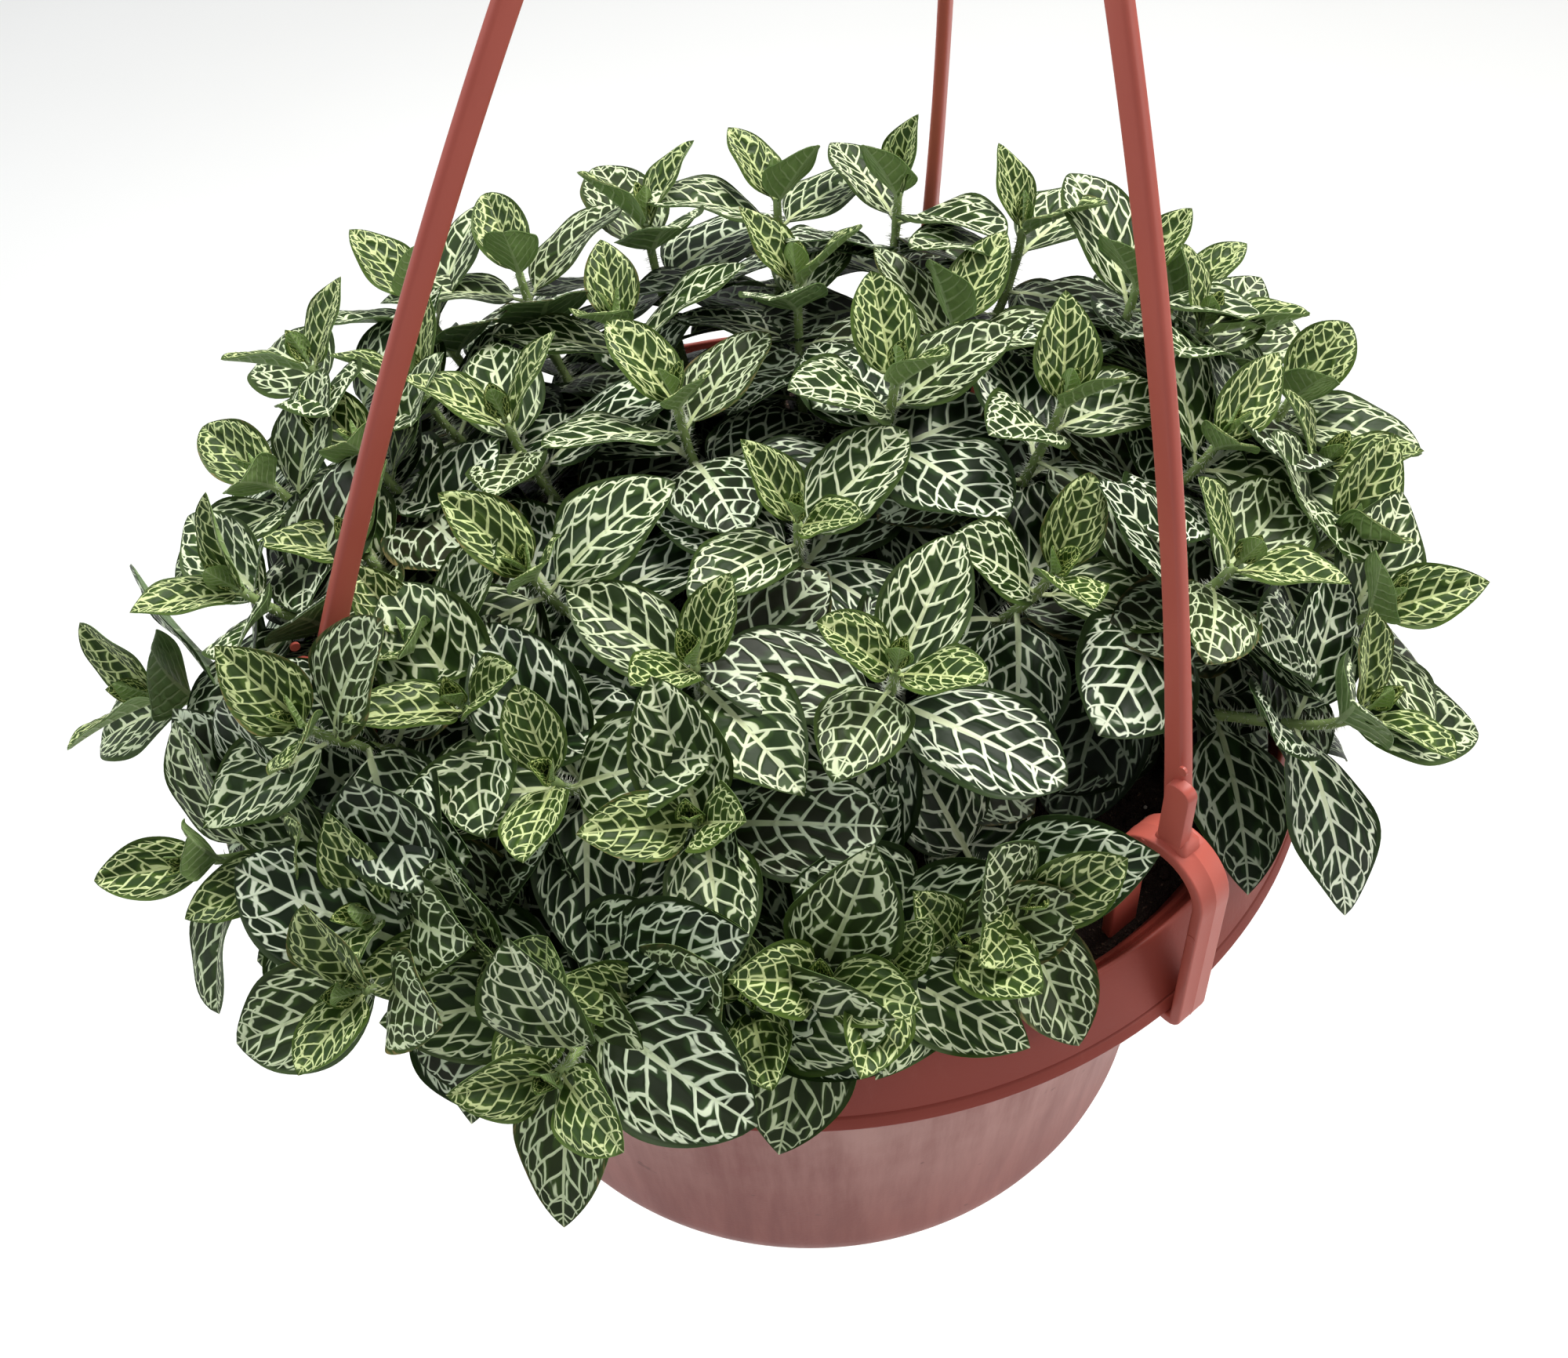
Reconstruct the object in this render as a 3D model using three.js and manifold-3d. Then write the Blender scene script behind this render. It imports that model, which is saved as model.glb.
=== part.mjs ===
// Nerve plant in a hanging pot: a thin plastic bowl with a skirted collar, filled with potting
// soil, planted with leafy shoots and carried by three arms that clip over its rim and meet at a hook.
// Millimetres, +Z up. The origin is the middle of the pot's underside.

import * as THREE from 'three';
import { mergeVertices } from 'three/addons/utils/BufferGeometryUtils.js';
import Module from 'manifold-3d';

const solids = await Module();
solids.setup();

// ---------------------------------------------------------------- driving dimensions

const POT = {
  height: 168,
  rimRadius: 127,
  lipRadius: 134.5,
  collarDrop: 22.5,
  neckRadius: 114,
  baseRadius: 101,
  baseCorner: 25,
  wall: 2,
  lipWidth: 2.4,
  rimWidth: 1.4,
  skirtRootDrop: 4,
  skirtRootInset: 2,
  neckStep: 2,
  shoulderAboveLip: 1,
  cornerSteps: 4,
  holeSides: 10,
  grooveAbove: 3,
  grooveWidth: 1.2,
  grooveDepth: 0.7,
  holeRadius: 4,
  holeCircle: 55,
  holes: 6,
  sides: 40,
};

const SOIL = {
  edgeBelowRim: 13,
  crownAboveEdge: 11,
  wallGap: 0.4,
  edgeRadius: 117.5,
  crownRings: [0.8, 0.55, 0.3, 0],
  sides: 32,
};

const HANGER = {
  apex: new THREE.Vector3(24.5, 1, POT.height + 323),
  headOffset: 6.5,
  footRadius: 125.2,
  footAboveRim: 32,
  radialDepth: 5.4,
  tangentWidth: 3.4,
  footDepth: 6,
  footWidth: 4,
  taperRate: 5,
  steps: 10,
};

const ARMS = [
  { name: 'arm_right', azimuth: -50, bow: 12.6 },
  { name: 'arm_back', azimuth: 71, bow: 22 },
  { name: 'arm_left', azimuth: 205, bow: 10.8 },
];

const CLIP = {
  width: 9.5,
  thickness: 3,
  innerLegRadius: 113.8,
  outerLegRadius: 136.7,
  innerLegEnd: 154,
  hookDrop: 4.6,
  hookReach: 3.4,
  underLip: 1,
  chamfer: 1.5,
  padHeight: 20,
  padDepth: 6.6,
  padInward: 0.2,
  padStandsOut: 2.9,
  padBelowFoot: 1,
  gussetHalf: 5,
  gussetHeight: 4,
};

const HOOK = {
  hubRadius: 11,
  hubHeight: 20,
  hubBelowApex: 12,
  hubFloorChamfer: [2, 3],
  hubShoulder: 6,
  hubTopMargin: 1,
  hubSides: 16,
  barWidth: 6,
  barDepth: 7,
  throatRadius: 15,
  neck: 14,
  neckOverlap: 3,
  sweep: 235,
  bowPoints: 8,
  steps: 15,
};

const GAP = 0.35;

// Rows of shoots. A row runs evenly from one place to another, and a place is where a growing tip
// stands: azimuth in degrees, reach from the pot's axis, height above the rim, lean in degrees.
const ROWS = [
  { shoots: 3, start: [30, 30, 68, 5], end: [270, 28, 64, 5] },
  { shoots: 9, start: [8, 68, 66, 12], end: [328, 70, 54, 16] },
  { shoots: 6, start: [32, 104, 66, 6], end: [130, 106, 60, 10] },
  { shoots: 7, start: [156, 102, 56, 18], end: [256, 98, 44, 26] },
  { shoots: 3, start: [-22, 104, 56, 22], end: [22, 108, 62, 16] },
  { shoots: 5, start: [264, 120, 16, 30], end: [294, 116, 18, 26] },
  { shoots: 5, start: [142, 128, 54, 22], end: [212, 134, 52, 30] },
  { shoots: 5, start: [219, 142, 24, 40], end: [254, 128, 12, 36] },
  { shoots: 7, start: [-25, 140, 34, 30], end: [34, 122, 50, 20] },
  { shoots: 4, start: [191, 158, 24, 54], end: [251, 150, 18, 46] },
];

// How far each shoot's leaf pairs are turned about the stem from the last shoot's, and how far a
// tip strays from its row: azimuth, reach, height and lean.
const TURN_STEP = 68;
const TIP_STRAY = [1.5, 4, 4, 5];

const STEM = {
  radius: 1.7,
  sides: 4,
  steps: 5,
  rootShare: 0.72,
  rootLimit: 96,
  rootSwing: 2,
  rise: 0.6,
  sweepIn: 0.4,
  rootStray: 4,
};

// Leaf pairs from the tip of a shoot downwards: distance below the tip, leaf length, opening from
// the stem and bend along the leaf in degrees, how far the leaf turns its face to the sky, and how
// much of its climb or fall it loses in spreading level.
const PAIRS = [
  { below: 8, length: 38, open: 52, bend: 26, skyward: 0.3, level: 0.15 },
  { below: 18, length: 43, open: 66, bend: 30, skyward: 0.5, level: 0.35 },
];

const LEAF = { widthShare: 0.64, thickness: 0.9 };

// How much leaves vary: twist about the stem and opening in degrees, length and bend as shares.
const LEAF_VARIETY = { twist: 14, opening: 10, length: 0.12, bend: 0.5 };

// Which number of a shoot's or leaf's own series each choice draws.
const DRAW = { twist: 1, opening: 2, length: 3, bend: 4, rootReach: 5, rootAzimuth: 6, tip: 7 };
const DRAWS_PER_SHOOT = 8;

// The closed pair of young leaves at a shoot's tip.
const BUD = { halfWidth: 3.2, halfLength: 8, above: 4 };

// What a crowded leaf tries in turn: its share of full length, and its lift in degrees.
const LEAF_TRIES = [[1, 0], [0.9, 12], [0.9, -12], [0.75, 20], [0.7, 0], [0.7, -15], [0.5, 10]];

// Along a leaf: how far from the stem, and its half width as a share of the widest.
const LEAF_STATIONS = [[0.4, 1], [0.76, 0.74]];

// A leaf's edge points come in pairs, upper then lower: stem end, left and right at each station, tip.
const LEAF_FACES = [
  0, 2, 4, 2, 6, 8, 2, 8, 4, 6, 10, 8, 1, 5, 3, 3, 9, 7, 3, 5, 9, 7, 9, 11,
  0, 1, 3, 0, 3, 2, 2, 3, 7, 2, 7, 6, 6, 7, 11, 6, 11, 10,
  0, 4, 5, 0, 5, 1, 4, 8, 9, 4, 9, 5, 8, 10, 11, 8, 11, 9,
];

// ---------------------------------------------------------------- solids

const radians = (degrees) => (degrees * Math.PI) / 180;

const heading = (degrees) => new THREE.Vector3(Math.cos(radians(degrees)), Math.sin(radians(degrees)), 0);

/** A repeatable number from -1 to 1 for one leaf or shoot. */
function chance(index, salt) {
  const wave = Math.sin(index * 12.9898 + salt * 78.233) * 43758.5453;
  return 2 * (wave - Math.floor(wave)) - 1;
}

function solid(geometry) {
  const bare = geometry.clone();
  bare.deleteAttribute('normal');
  bare.deleteAttribute('uv');
  const merged = mergeVertices(bare, 1e-4);
  const vertProperties = new Float32Array(merged.attributes.position.array);
  const triVerts = new Uint32Array(merged.index.array);
  return new solids.Manifold(new solids.Mesh({ numProp: 3, vertProperties, triVerts }));
}

function geometryOf(manifold) {
  const mesh = manifold.getMesh();
  const geometry = new THREE.BufferGeometry();
  geometry.setAttribute('position', new THREE.BufferAttribute(mesh.vertProperties, 3));
  geometry.setIndex(new THREE.BufferAttribute(mesh.triVerts, 1));
  return geometry.toNonIndexed();
}

const joined = (list) => list.reduce((whole, next) => whole.add(next));

/** The biggest of the separate bodies that a cut leaves. */
function biggestBody(manifold) {
  return manifold.decompose().reduce((best, next) => (next.volume() > best.volume() ? next : best));
}

/** A closed solid of revolution from an outline that starts and ends on the axis. */
function turned(outline, sides) {
  const geometry = new THREE.LatheGeometry(outline.map(([r, z]) => new THREE.Vector2(r, z)), sides);
  return solid(geometry.rotateX(Math.PI / 2));
}

/** A flat outline in the radial plane at an azimuth, made as thick as width across that plane. */
function plate(shape, azimuth, width, shift = 0) {
  const geometry = new THREE.ExtrudeGeometry(shape, {
    depth: width,
    bevelEnabled: false,
    curveSegments: 5,
  });
  geometry.translate(0, 0, shift - width / 2);
  geometry.rotateX(Math.PI / 2);
  return solid(geometry.rotateZ(radians(azimuth)));
}

// ---------------------------------------------------------------- pot and soil

function arcPoints(centre, radius, from, to, steps) {
  const points = [];
  for (let i = 0; i <= steps; i += 1) {
    const angle = radians(from + ((to - from) * i) / steps);
    points.push([centre[0] + radius * Math.cos(angle), centre[1] + radius * Math.sin(angle)]);
  }
  return points;
}

/** The outline of the inside of the pot, from the floor's middle to the rim, moved in by a gap. */
function innerOutline(gap, top) {
  const inset = POT.wall + gap;
  const corner = [POT.baseRadius - POT.baseCorner, POT.baseCorner];
  const neck = POT.height - POT.collarDrop + POT.shoulderAboveLip;
  const outline = [
    [0, inset],
    ...arcPoints(corner, POT.baseCorner - inset, -90, 0, POT.cornerSteps),
    [POT.neckRadius - inset, neck],
  ];
  const slope = (POT.rimRadius - POT.rimWidth - POT.neckRadius + POT.wall) / (POT.height - neck);
  outline.push([POT.neckRadius - inset + slope * (top - neck), top]);
  return outline;
}

function pot() {
  const lip = POT.height - POT.collarDrop;
  const corner = [POT.baseRadius - POT.baseCorner, POT.baseCorner];
  const skirt = (z) =>
    POT.lipRadius + ((POT.rimRadius - POT.lipRadius) * (z - lip)) / (POT.height - lip);
  const groove = lip + POT.grooveAbove;
  const outline = [
    [0, 0],
    ...arcPoints(corner, POT.baseCorner, -90, 0, POT.cornerSteps),
    [POT.neckRadius, lip - POT.neckStep],
    [POT.rimRadius - POT.lipWidth - POT.skirtRootInset, POT.height - POT.skirtRootDrop],
    [POT.lipRadius - POT.lipWidth, lip],
    [POT.lipRadius, lip],
    [skirt(groove), groove],
    [skirt(groove) - POT.grooveDepth, groove + POT.grooveWidth / 2],
    [skirt(groove), groove + POT.grooveWidth],
    [POT.rimRadius, POT.height],
    ...innerOutline(0, POT.height).reverse(),
  ];
  const holes = [];
  for (let i = 0; i < POT.holes; i += 1) {
    const drill = new THREE.CylinderGeometry(POT.holeRadius, POT.holeRadius, 4 * POT.wall, POT.holeSides);
    const angle = (i * 2 * Math.PI) / POT.holes;
    drill.rotateX(Math.PI / 2);
    drill.translate(POT.holeCircle * Math.cos(angle), POT.holeCircle * Math.sin(angle), 0);
    holes.push(solid(drill));
  }
  return turned(outline, POT.sides).subtract(joined(holes));
}

const soilEdge = POT.height - SOIL.edgeBelowRim;

/** Height of the soil's gently crowned surface at a distance from the axis. */
const soilHeight = (reach) => soilEdge + SOIL.crownAboveEdge * (1 - (reach / SOIL.edgeRadius) ** 2);

function soil() {
  const outline = innerOutline(SOIL.wallGap, soilEdge);
  for (const share of SOIL.crownRings) {
    outline.push([share * SOIL.edgeRadius, soilHeight(share * SOIL.edgeRadius)]);
  }
  return turned(outline, SOIL.sides);
}

// ---------------------------------------------------------------- hanger

/** A bar with chamfered edges along a curve, its depth in the curve's own plane. */
function bar(curve, depthAt, widthAt, side, steps) {
  const corners = [[1, 0.5], [0.5, 1], [-0.5, 1], [-1, 0.5], [-1, -0.5], [-0.5, -1], [0.5, -1], [1, -0.5]];
  const positions = [];
  const index = [];
  for (let i = 0; i <= steps; i += 1) {
    const t = i / steps;
    const centre = curve.getPoint(t);
    const across = new THREE.Vector3().crossVectors(curve.getTangent(t), side).normalize();
    for (const [a, b] of corners) {
      const point = centre.clone();
      point.addScaledVector(across, (a * depthAt(t)) / 2);
      point.addScaledVector(side, (b * widthAt(t)) / 2);
      positions.push(point.x, point.y, point.z);
    }
  }
  const count = corners.length;
  for (let i = 0; i < steps; i += 1) {
    for (let j = 0; j < count; j += 1) {
      const a = i * count + j;
      const b = i * count + ((j + 1) % count);
      index.push(a, b, b + count, a, b + count, a + count);
    }
  }
  for (let j = 1; j < count - 1; j += 1) {
    index.push(0, j + 1, j);
    index.push(steps * count, steps * count + j, steps * count + j + 1);
  }
  return closedSolid(positions, index);
}

/** A solid from points and triangles, turned the right way out. */
function closedSolid(positions, index) {
  const geometry = new THREE.BufferGeometry();
  geometry.setAttribute('position', new THREE.Float32BufferAttribute(positions, 3));
  geometry.setIndex(index);
  const made = solid(geometry);
  if (made.volume() > 0) {
    return made;
  }
  const flipped = [];
  for (let i = 0; i < index.length; i += 3) {
    flipped.push(index[i], index[i + 2], index[i + 1]);
  }
  geometry.setIndex(flipped);
  return solid(geometry);
}

function armCurve(arm) {
  const out = heading(arm.azimuth);
  const foot = out.clone().multiplyScalar(HANGER.footRadius);
  foot.z = POT.height + HANGER.footAboveRim;
  const head = HANGER.apex.clone().addScaledVector(out, HANGER.headOffset);
  const middle = foot.clone().add(head).multiplyScalar(0.5);
  middle.addScaledVector(out, 2 * arm.bow);
  return new THREE.QuadraticBezierCurve3(foot, middle, head);
}

/** The fork that straddles the rim: an arch, a leg inside the pot and one that hooks under the lip. */
function clipShape(grow) {
  const { innerLegRadius: inner, outerLegRadius: outer, thickness, chamfer } = CLIP;
  const half = thickness / 2 + grow;
  const archRadius = (outer - inner) / 2;
  const centre = (outer + inner) / 2;
  const spring = POT.height + HANGER.footAboveRim - thickness / 2 - archRadius;
  const ledge = POT.height - POT.collarDrop - CLIP.underLip;
  const hookBottom = POT.height - POT.collarDrop - CLIP.hookDrop - grow;
  const hookTip = outer - half - CLIP.hookReach;
  const shape = new THREE.Shape();
  shape.moveTo(inner - half, CLIP.innerLegEnd - grow);
  shape.lineTo(inner + half, CLIP.innerLegEnd - grow);
  shape.lineTo(inner + half, spring);
  shape.absarc(centre, spring, archRadius - half, Math.PI, 0, true);
  shape.lineTo(outer - half, ledge);
  shape.lineTo(hookTip, ledge);
  shape.lineTo(hookTip, hookBottom + chamfer);
  shape.lineTo(hookTip + chamfer, hookBottom);
  shape.lineTo(outer, hookBottom);
  shape.lineTo(outer + half, hookBottom + 2 * chamfer);
  shape.lineTo(outer + half, spring);
  shape.absarc(centre, spring, archRadius + half, 0, Math.PI, false);
  shape.closePath();
  return shape;
}

/** The flare where an arm grows out of its clip's arch. */
function gussetShape() {
  const { thickness, gussetHalf, gussetHeight } = CLIP;
  const arch = POT.height + HANGER.footAboveRim;
  const half = HANGER.footDepth / 2;
  const middle = HANGER.footRadius;
  const shape = new THREE.Shape();
  shape.moveTo(middle - gussetHalf, arch - thickness);
  shape.lineTo(middle + gussetHalf, arch - thickness);
  shape.quadraticCurveTo(middle + half, arch, middle + half, arch + gussetHeight);
  shape.lineTo(middle - half, arch + gussetHeight);
  shape.quadraticCurveTo(middle - half, arch, middle - gussetHalf, arch - thickness);
  return shape;
}

/** The blank raised pad low on one side of an arm. */
function padShape(grow) {
  const bottom = POT.height + HANGER.footAboveRim - CLIP.padBelowFoot;
  const middle = HANGER.footRadius - CLIP.padInward;
  const half = CLIP.padDepth / 2 + grow;
  const shape = new THREE.Shape();
  shape.moveTo(middle - half, bottom - grow);
  shape.lineTo(middle + half, bottom - grow);
  shape.lineTo(middle + half, bottom + CLIP.padHeight + grow);
  shape.lineTo(middle - half, bottom + CLIP.padHeight + grow);
  shape.closePath();
  return shape;
}

function arm(spec, grow) {
  const curve = armCurve(spec);
  const side = new THREE.Vector3(-Math.sin(radians(spec.azimuth)), Math.cos(radians(spec.azimuth)), 0);
  const taper = (t) => Math.max(0, 1 - HANGER.taperRate * t);
  const depth = (t) => HANGER.radialDepth + (HANGER.footDepth - HANGER.radialDepth) * taper(t) + 2 * grow;
  const width = (t) => HANGER.tangentWidth + (HANGER.footWidth - HANGER.tangentWidth) * taper(t) + 2 * grow;
  const strand = bar(curve, depth, width, side, HANGER.steps);
  const fork = plate(clipShape(grow), spec.azimuth, CLIP.width + 2 * grow);
  const gusset = plate(gussetShape(), spec.azimuth, HANGER.footWidth + 2 * grow);
  const pad = plate(padShape(grow), spec.azimuth, CLIP.padStandsOut + 2 * grow, CLIP.padStandsOut / 2);
  return joined([strand, fork, gusset, pad]);
}

/** Hub where the arms meet, with a hook above it to go over a rail or a ceiling hook. */
function hook() {
  const hubFloor = HANGER.apex.z - HOOK.hubBelowApex;
  const hubTop = hubFloor + HOOK.hubHeight;
  const hub = turned([
    [0, hubFloor],
    [HOOK.hubRadius - HOOK.hubFloorChamfer[0], hubFloor],
    [HOOK.hubRadius, hubFloor + HOOK.hubFloorChamfer[1]],
    [HOOK.hubRadius, hubTop - HOOK.hubShoulder],
    [HOOK.barDepth / 2 + HOOK.hubTopMargin, hubTop],
    [0, hubTop],
  ], HOOK.hubSides);
  const centreHeight = hubTop + HOOK.neck + HOOK.throatRadius;
  const bow = [];
  const reach = HOOK.throatRadius + HOOK.barDepth / 2;
  for (let i = 0; i <= HOOK.bowPoints; i += 1) {
    const angle = radians(-90 - (HOOK.sweep * i) / HOOK.bowPoints);
    bow.push(new THREE.Vector3(-reach * Math.cos(angle), 0, centreHeight + reach * Math.sin(angle)));
  }
  const line = new THREE.CatmullRomCurve3([new THREE.Vector3(0, 0, hubTop - HOOK.neckOverlap), ...bow]);
  const depth = () => HOOK.barDepth;
  const width = () => HOOK.barWidth;
  const bend = bar(line, depth, width, new THREE.Vector3(0, 1, 0), HOOK.steps);
  return hub.add(bend).translate([HANGER.apex.x, HANGER.apex.y, 0]);
}

// ---------------------------------------------------------------- shoots

/** Every shoot's tip, along the rows: its place, its lean and the turn of its leaf pairs. */
function shootTips() {
  const tips = [];
  for (const { shoots, start, end } of ROWS) {
    for (let i = 0; i < shoots; i += 1) {
      const index = tips.length;
      const [azimuth, reach, height, lean] = start.map((first, axis) => {
        const even = first + ((end[axis] - first) * i) / (shoots - 1);
        return even + TIP_STRAY[axis] * chance(index, DRAW.tip + axis);
      });
      tips.push({ azimuth, reach, height, lean: radians(lean), turn: TURN_STEP * index });
    }
  }
  return tips;
}

/** Where a shoot is rooted, where its tip stands and how its stem runs between them. */
function stemCurve({ azimuth, reach, height, lean }, index) {
  const out = heading(azimuth);
  const planted = Math.min(reach * STEM.rootShare, STEM.rootLimit);
  const rootReach = planted + STEM.rootStray * chance(index, DRAW.rootReach);
  const rootAzimuth = azimuth + STEM.rootSwing * chance(index, DRAW.rootAzimuth);
  const root = heading(rootAzimuth).multiplyScalar(rootReach);
  root.z = soilHeight(rootReach) + STEM.radius + GAP;
  const tip = out.clone().multiplyScalar(reach);
  tip.z = POT.height + height;
  const growth = out.clone().multiplyScalar(Math.sin(lean));
  growth.z = Math.cos(lean);
  const span = root.distanceTo(tip);
  const low = root.clone();
  low.z += STEM.rise * span;
  const high = tip.clone().addScaledVector(growth, -STEM.sweepIn * span);
  return new THREE.CubicBezierCurve3(root, low, high, tip);
}

function stemSolid(curve, grow) {
  const section = new THREE.Shape();
  for (let i = 0; i < STEM.sides; i += 1) {
    const angle = (i * 2 * Math.PI) / STEM.sides;
    const radius = STEM.radius + grow;
    section[i ? 'lineTo' : 'moveTo'](radius * Math.cos(angle), radius * Math.sin(angle));
  }
  section.closePath();
  return solid(new THREE.ExtrudeGeometry(section, {
    steps: STEM.steps,
    extrudePath: curve,
    bevelEnabled: false,
  }));
}

function budSolid(curve, grow) {
  const axis = curve.getTangent(1);
  const bud = new THREE.OctahedronGeometry(1);
  bud.scale(BUD.halfWidth + grow, BUD.halfLength + grow, BUD.halfWidth + grow);
  bud.applyQuaternion(new THREE.Quaternion().setFromUnitVectors(new THREE.Vector3(0, 1, 0), axis));
  const centre = curve.v3.clone().addScaledVector(axis, BUD.above);
  return solid(bud.translate(centre.x, centre.y, centre.z));
}

/** One leaf as a thin bent plate that starts inside the stem. */
function leafSolid(place, grow) {
  const { start, along, face, length, bend } = place;
  const side = new THREE.Vector3().crossVectors(face, along);
  const halfWidth = (length * LEAF.widthShare) / 2;
  const half = LEAF.thickness / 2 + grow;
  const at = (t) => {
    const turn = bend * t;
    const centre = start.clone();
    centre.addScaledVector(along, (length * Math.sin(turn)) / bend);
    centre.addScaledVector(face, (-length * (1 - Math.cos(turn))) / bend);
    const normal = face.clone().multiplyScalar(Math.cos(turn)).addScaledVector(along, Math.sin(turn));
    return { centre, normal };
  };
  const edge = (t, way) => {
    const { centre, normal } = at(t);
    return [half, -half].map((lift) => centre.clone().addScaledVector(normal, lift)
      .addScaledVector(side, way));
  };
  const rows = LEAF_STATIONS.flatMap(([t, share]) =>
    [1, -1].map((way) => edge(t, way * (halfWidth * share + grow))));
  const positions = [edge(0, 0), ...rows, edge(1 + grow / length, 0)].flat().flatMap((p) => p.toArray());
  return closedSolid(positions, LEAF_FACES);
}

/** Where each leaf of a shoot starts, which way it grows and which way it faces. */
function leafPlaces(curve, { azimuth, lean, turn }, shootIndex) {
  const out = heading(azimuth);
  const upright = Math.cos(lean) ** 2;
  const span = curve.v0.distanceTo(curve.v3);
  const places = [];
  PAIRS.forEach((pair, level) => {
    const t = 1 - pair.below / span;
    const start = curve.getPoint(t);
    const axis = curve.getTangent(t);
    const first = out.clone().addScaledVector(axis, -out.dot(axis)).normalize();
    const second = new THREE.Vector3().crossVectors(axis, first);
    for (let twin = 0; twin < 2; twin += 1) {
      const key = shootIndex * DRAWS_PER_SHOOT + level * 2 + twin;
      const twist = LEAF_VARIETY.twist * chance(key, DRAW.twist);
      const roll = radians(turn + 90 * level + 180 * twin + twist);
      const open = radians(pair.open + LEAF_VARIETY.opening * chance(key, DRAW.opening));
      const outward = first.clone().multiplyScalar(Math.cos(roll)).addScaledVector(second, Math.sin(roll));
      const along = axis.clone().multiplyScalar(Math.cos(open)).addScaledVector(outward, Math.sin(open));
      along.z *= 1 - pair.level * upright;
      along.normalize();
      const up = axis.clone().multiplyScalar(1 - pair.skyward);
      up.z += pair.skyward;
      const face = up.addScaledVector(along, -up.dot(along)).normalize();
      places.push({
        start,
        along,
        face,
        length: pair.length * (1 + LEAF_VARIETY.length * chance(key, DRAW.length)),
        bend: radians(pair.bend * (1 + LEAF_VARIETY.bend * chance(key, DRAW.bend))),
      });
    }
  });
  return places;
}

/** The same leaf, shorter and lifted towards its face. */
function adjusted(place, share, lift) {
  const [level, rise] = [Math.cos(lift), Math.sin(lift)];
  const along = place.along.clone().multiplyScalar(level).addScaledVector(place.face, rise);
  const face = place.face.clone().multiplyScalar(level).addScaledVector(place.along, -rise);
  return { ...place, along, face, length: place.length * share };
}

/** A leaf grown as far as its neighbours leave room, or nothing where they leave none. */
function roomyLeaf(place, obstacles) {
  for (const [share, lift] of LEAF_TRIES) {
    const tried = adjusted(place, share, radians(lift));
    const keepOut = leafSolid(tried, GAP);
    if (obstacles.every((obstacle) => keepOut.intersect(obstacle).isEmpty())) {
      return { leaf: leafSolid(tried, 0), keepOut };
    }
  }
  return null;
}

// ---------------------------------------------------------------- assembly

const FINISH = {
  pot: { color: 0x9a5a50, roughness: 0.45, metalness: 0 },
  hanger: { color: 0xa5564b, roughness: 0.4, metalness: 0 },
  soil: { color: 0x17120f, roughness: 1, metalness: 0 },
  shoot: { color: 0x40603a, roughness: 0.55, metalness: 0 },
};

const plant = new THREE.Group();

function place(name, manifold, finish) {
  const mesh = new THREE.Mesh(geometryOf(manifold), new THREE.MeshStandardMaterial(FINISH[finish]));
  mesh.name = name;
  plant.add(mesh);
}

const armKeepOuts = joined(ARMS.map((spec) => arm(spec, GAP)));
const potBody = pot();
const soilBody = biggestBody(soil().subtract(armKeepOuts));
place('pot', potBody, 'pot');
place('soil', soilBody, 'soil');
ARMS.forEach((spec) => place(spec.name, arm(spec, 0), 'hanger'));
place('hook', biggestBody(hook().subtract(armKeepOuts)), 'hanger');

const tips = shootTips();
const curves = tips.map(stemCurve);
const core = (curve, grow) => stemSolid(curve, grow).add(budSolid(curve, grow));
const cores = curves.map((curve) => core(curve, GAP));
const fixed = joined([potBody, soilBody, armKeepOuts]);
let leafKeepOuts = null;

tips.forEach((tip, index) => {
  const others = joined(cores.filter((other, i) => i !== index));
  const obstacles = [fixed, others, leafKeepOuts].filter(Boolean);
  const grown = leafPlaces(curves[index], tip, index)
    .map((leafPlace) => roomyLeaf(leafPlace, obstacles))
    .filter(Boolean);
  const body = joined([core(curves[index], 0), ...grown.map(({ leaf }) => leaf)]);
  place(`shoot_${String(index + 1).padStart(2, '0')}`, body, 'shoot');
  const taken = grown.map(({ keepOut }) => keepOut);
  leafKeepOuts = joined([leafKeepOuts, ...taken].filter(Boolean));
});

export default plant;
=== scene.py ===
"""Looks of a nerve plant in a hanging pot: leaves, stems, soil, bowl and hanger, with camera and light."""

import math

import bmesh
import bpy
import numpy as np
from mathutils import Matrix, Vector, noise


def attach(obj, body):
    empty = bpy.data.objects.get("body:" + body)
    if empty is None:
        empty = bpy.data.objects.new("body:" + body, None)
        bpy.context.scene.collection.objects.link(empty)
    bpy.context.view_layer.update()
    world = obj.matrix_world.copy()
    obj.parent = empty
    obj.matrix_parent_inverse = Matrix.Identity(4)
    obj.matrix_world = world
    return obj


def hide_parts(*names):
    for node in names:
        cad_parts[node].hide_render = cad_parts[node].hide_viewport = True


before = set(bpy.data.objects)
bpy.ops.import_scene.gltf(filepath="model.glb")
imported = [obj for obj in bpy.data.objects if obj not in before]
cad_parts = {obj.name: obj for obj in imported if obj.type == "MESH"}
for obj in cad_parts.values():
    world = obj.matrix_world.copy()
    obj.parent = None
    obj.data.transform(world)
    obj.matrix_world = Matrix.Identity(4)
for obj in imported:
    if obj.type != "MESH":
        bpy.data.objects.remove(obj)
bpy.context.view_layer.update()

MM = 0.001
ACROSS, AWAY, UP = np.eye(3)

# -------- driving dimensions, millimetres

POT_HEIGHT = 168.0
RIM_RADIUS = 127.0
LIP_RADIUS = 134.5
COLLAR_DROP = 22.5
NECK_RADIUS = 114.0
BASE_RADIUS = 101.0
BASE_CORNER = 25.0
WALL = 2.0
LIP_HEIGHT = POT_HEIGHT - COLLAR_DROP
FOOT_RECESS = 1.2
GROOVE_ABOVE_LIP, GROOVE_DEPTH = 3.4, 0.75

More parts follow.
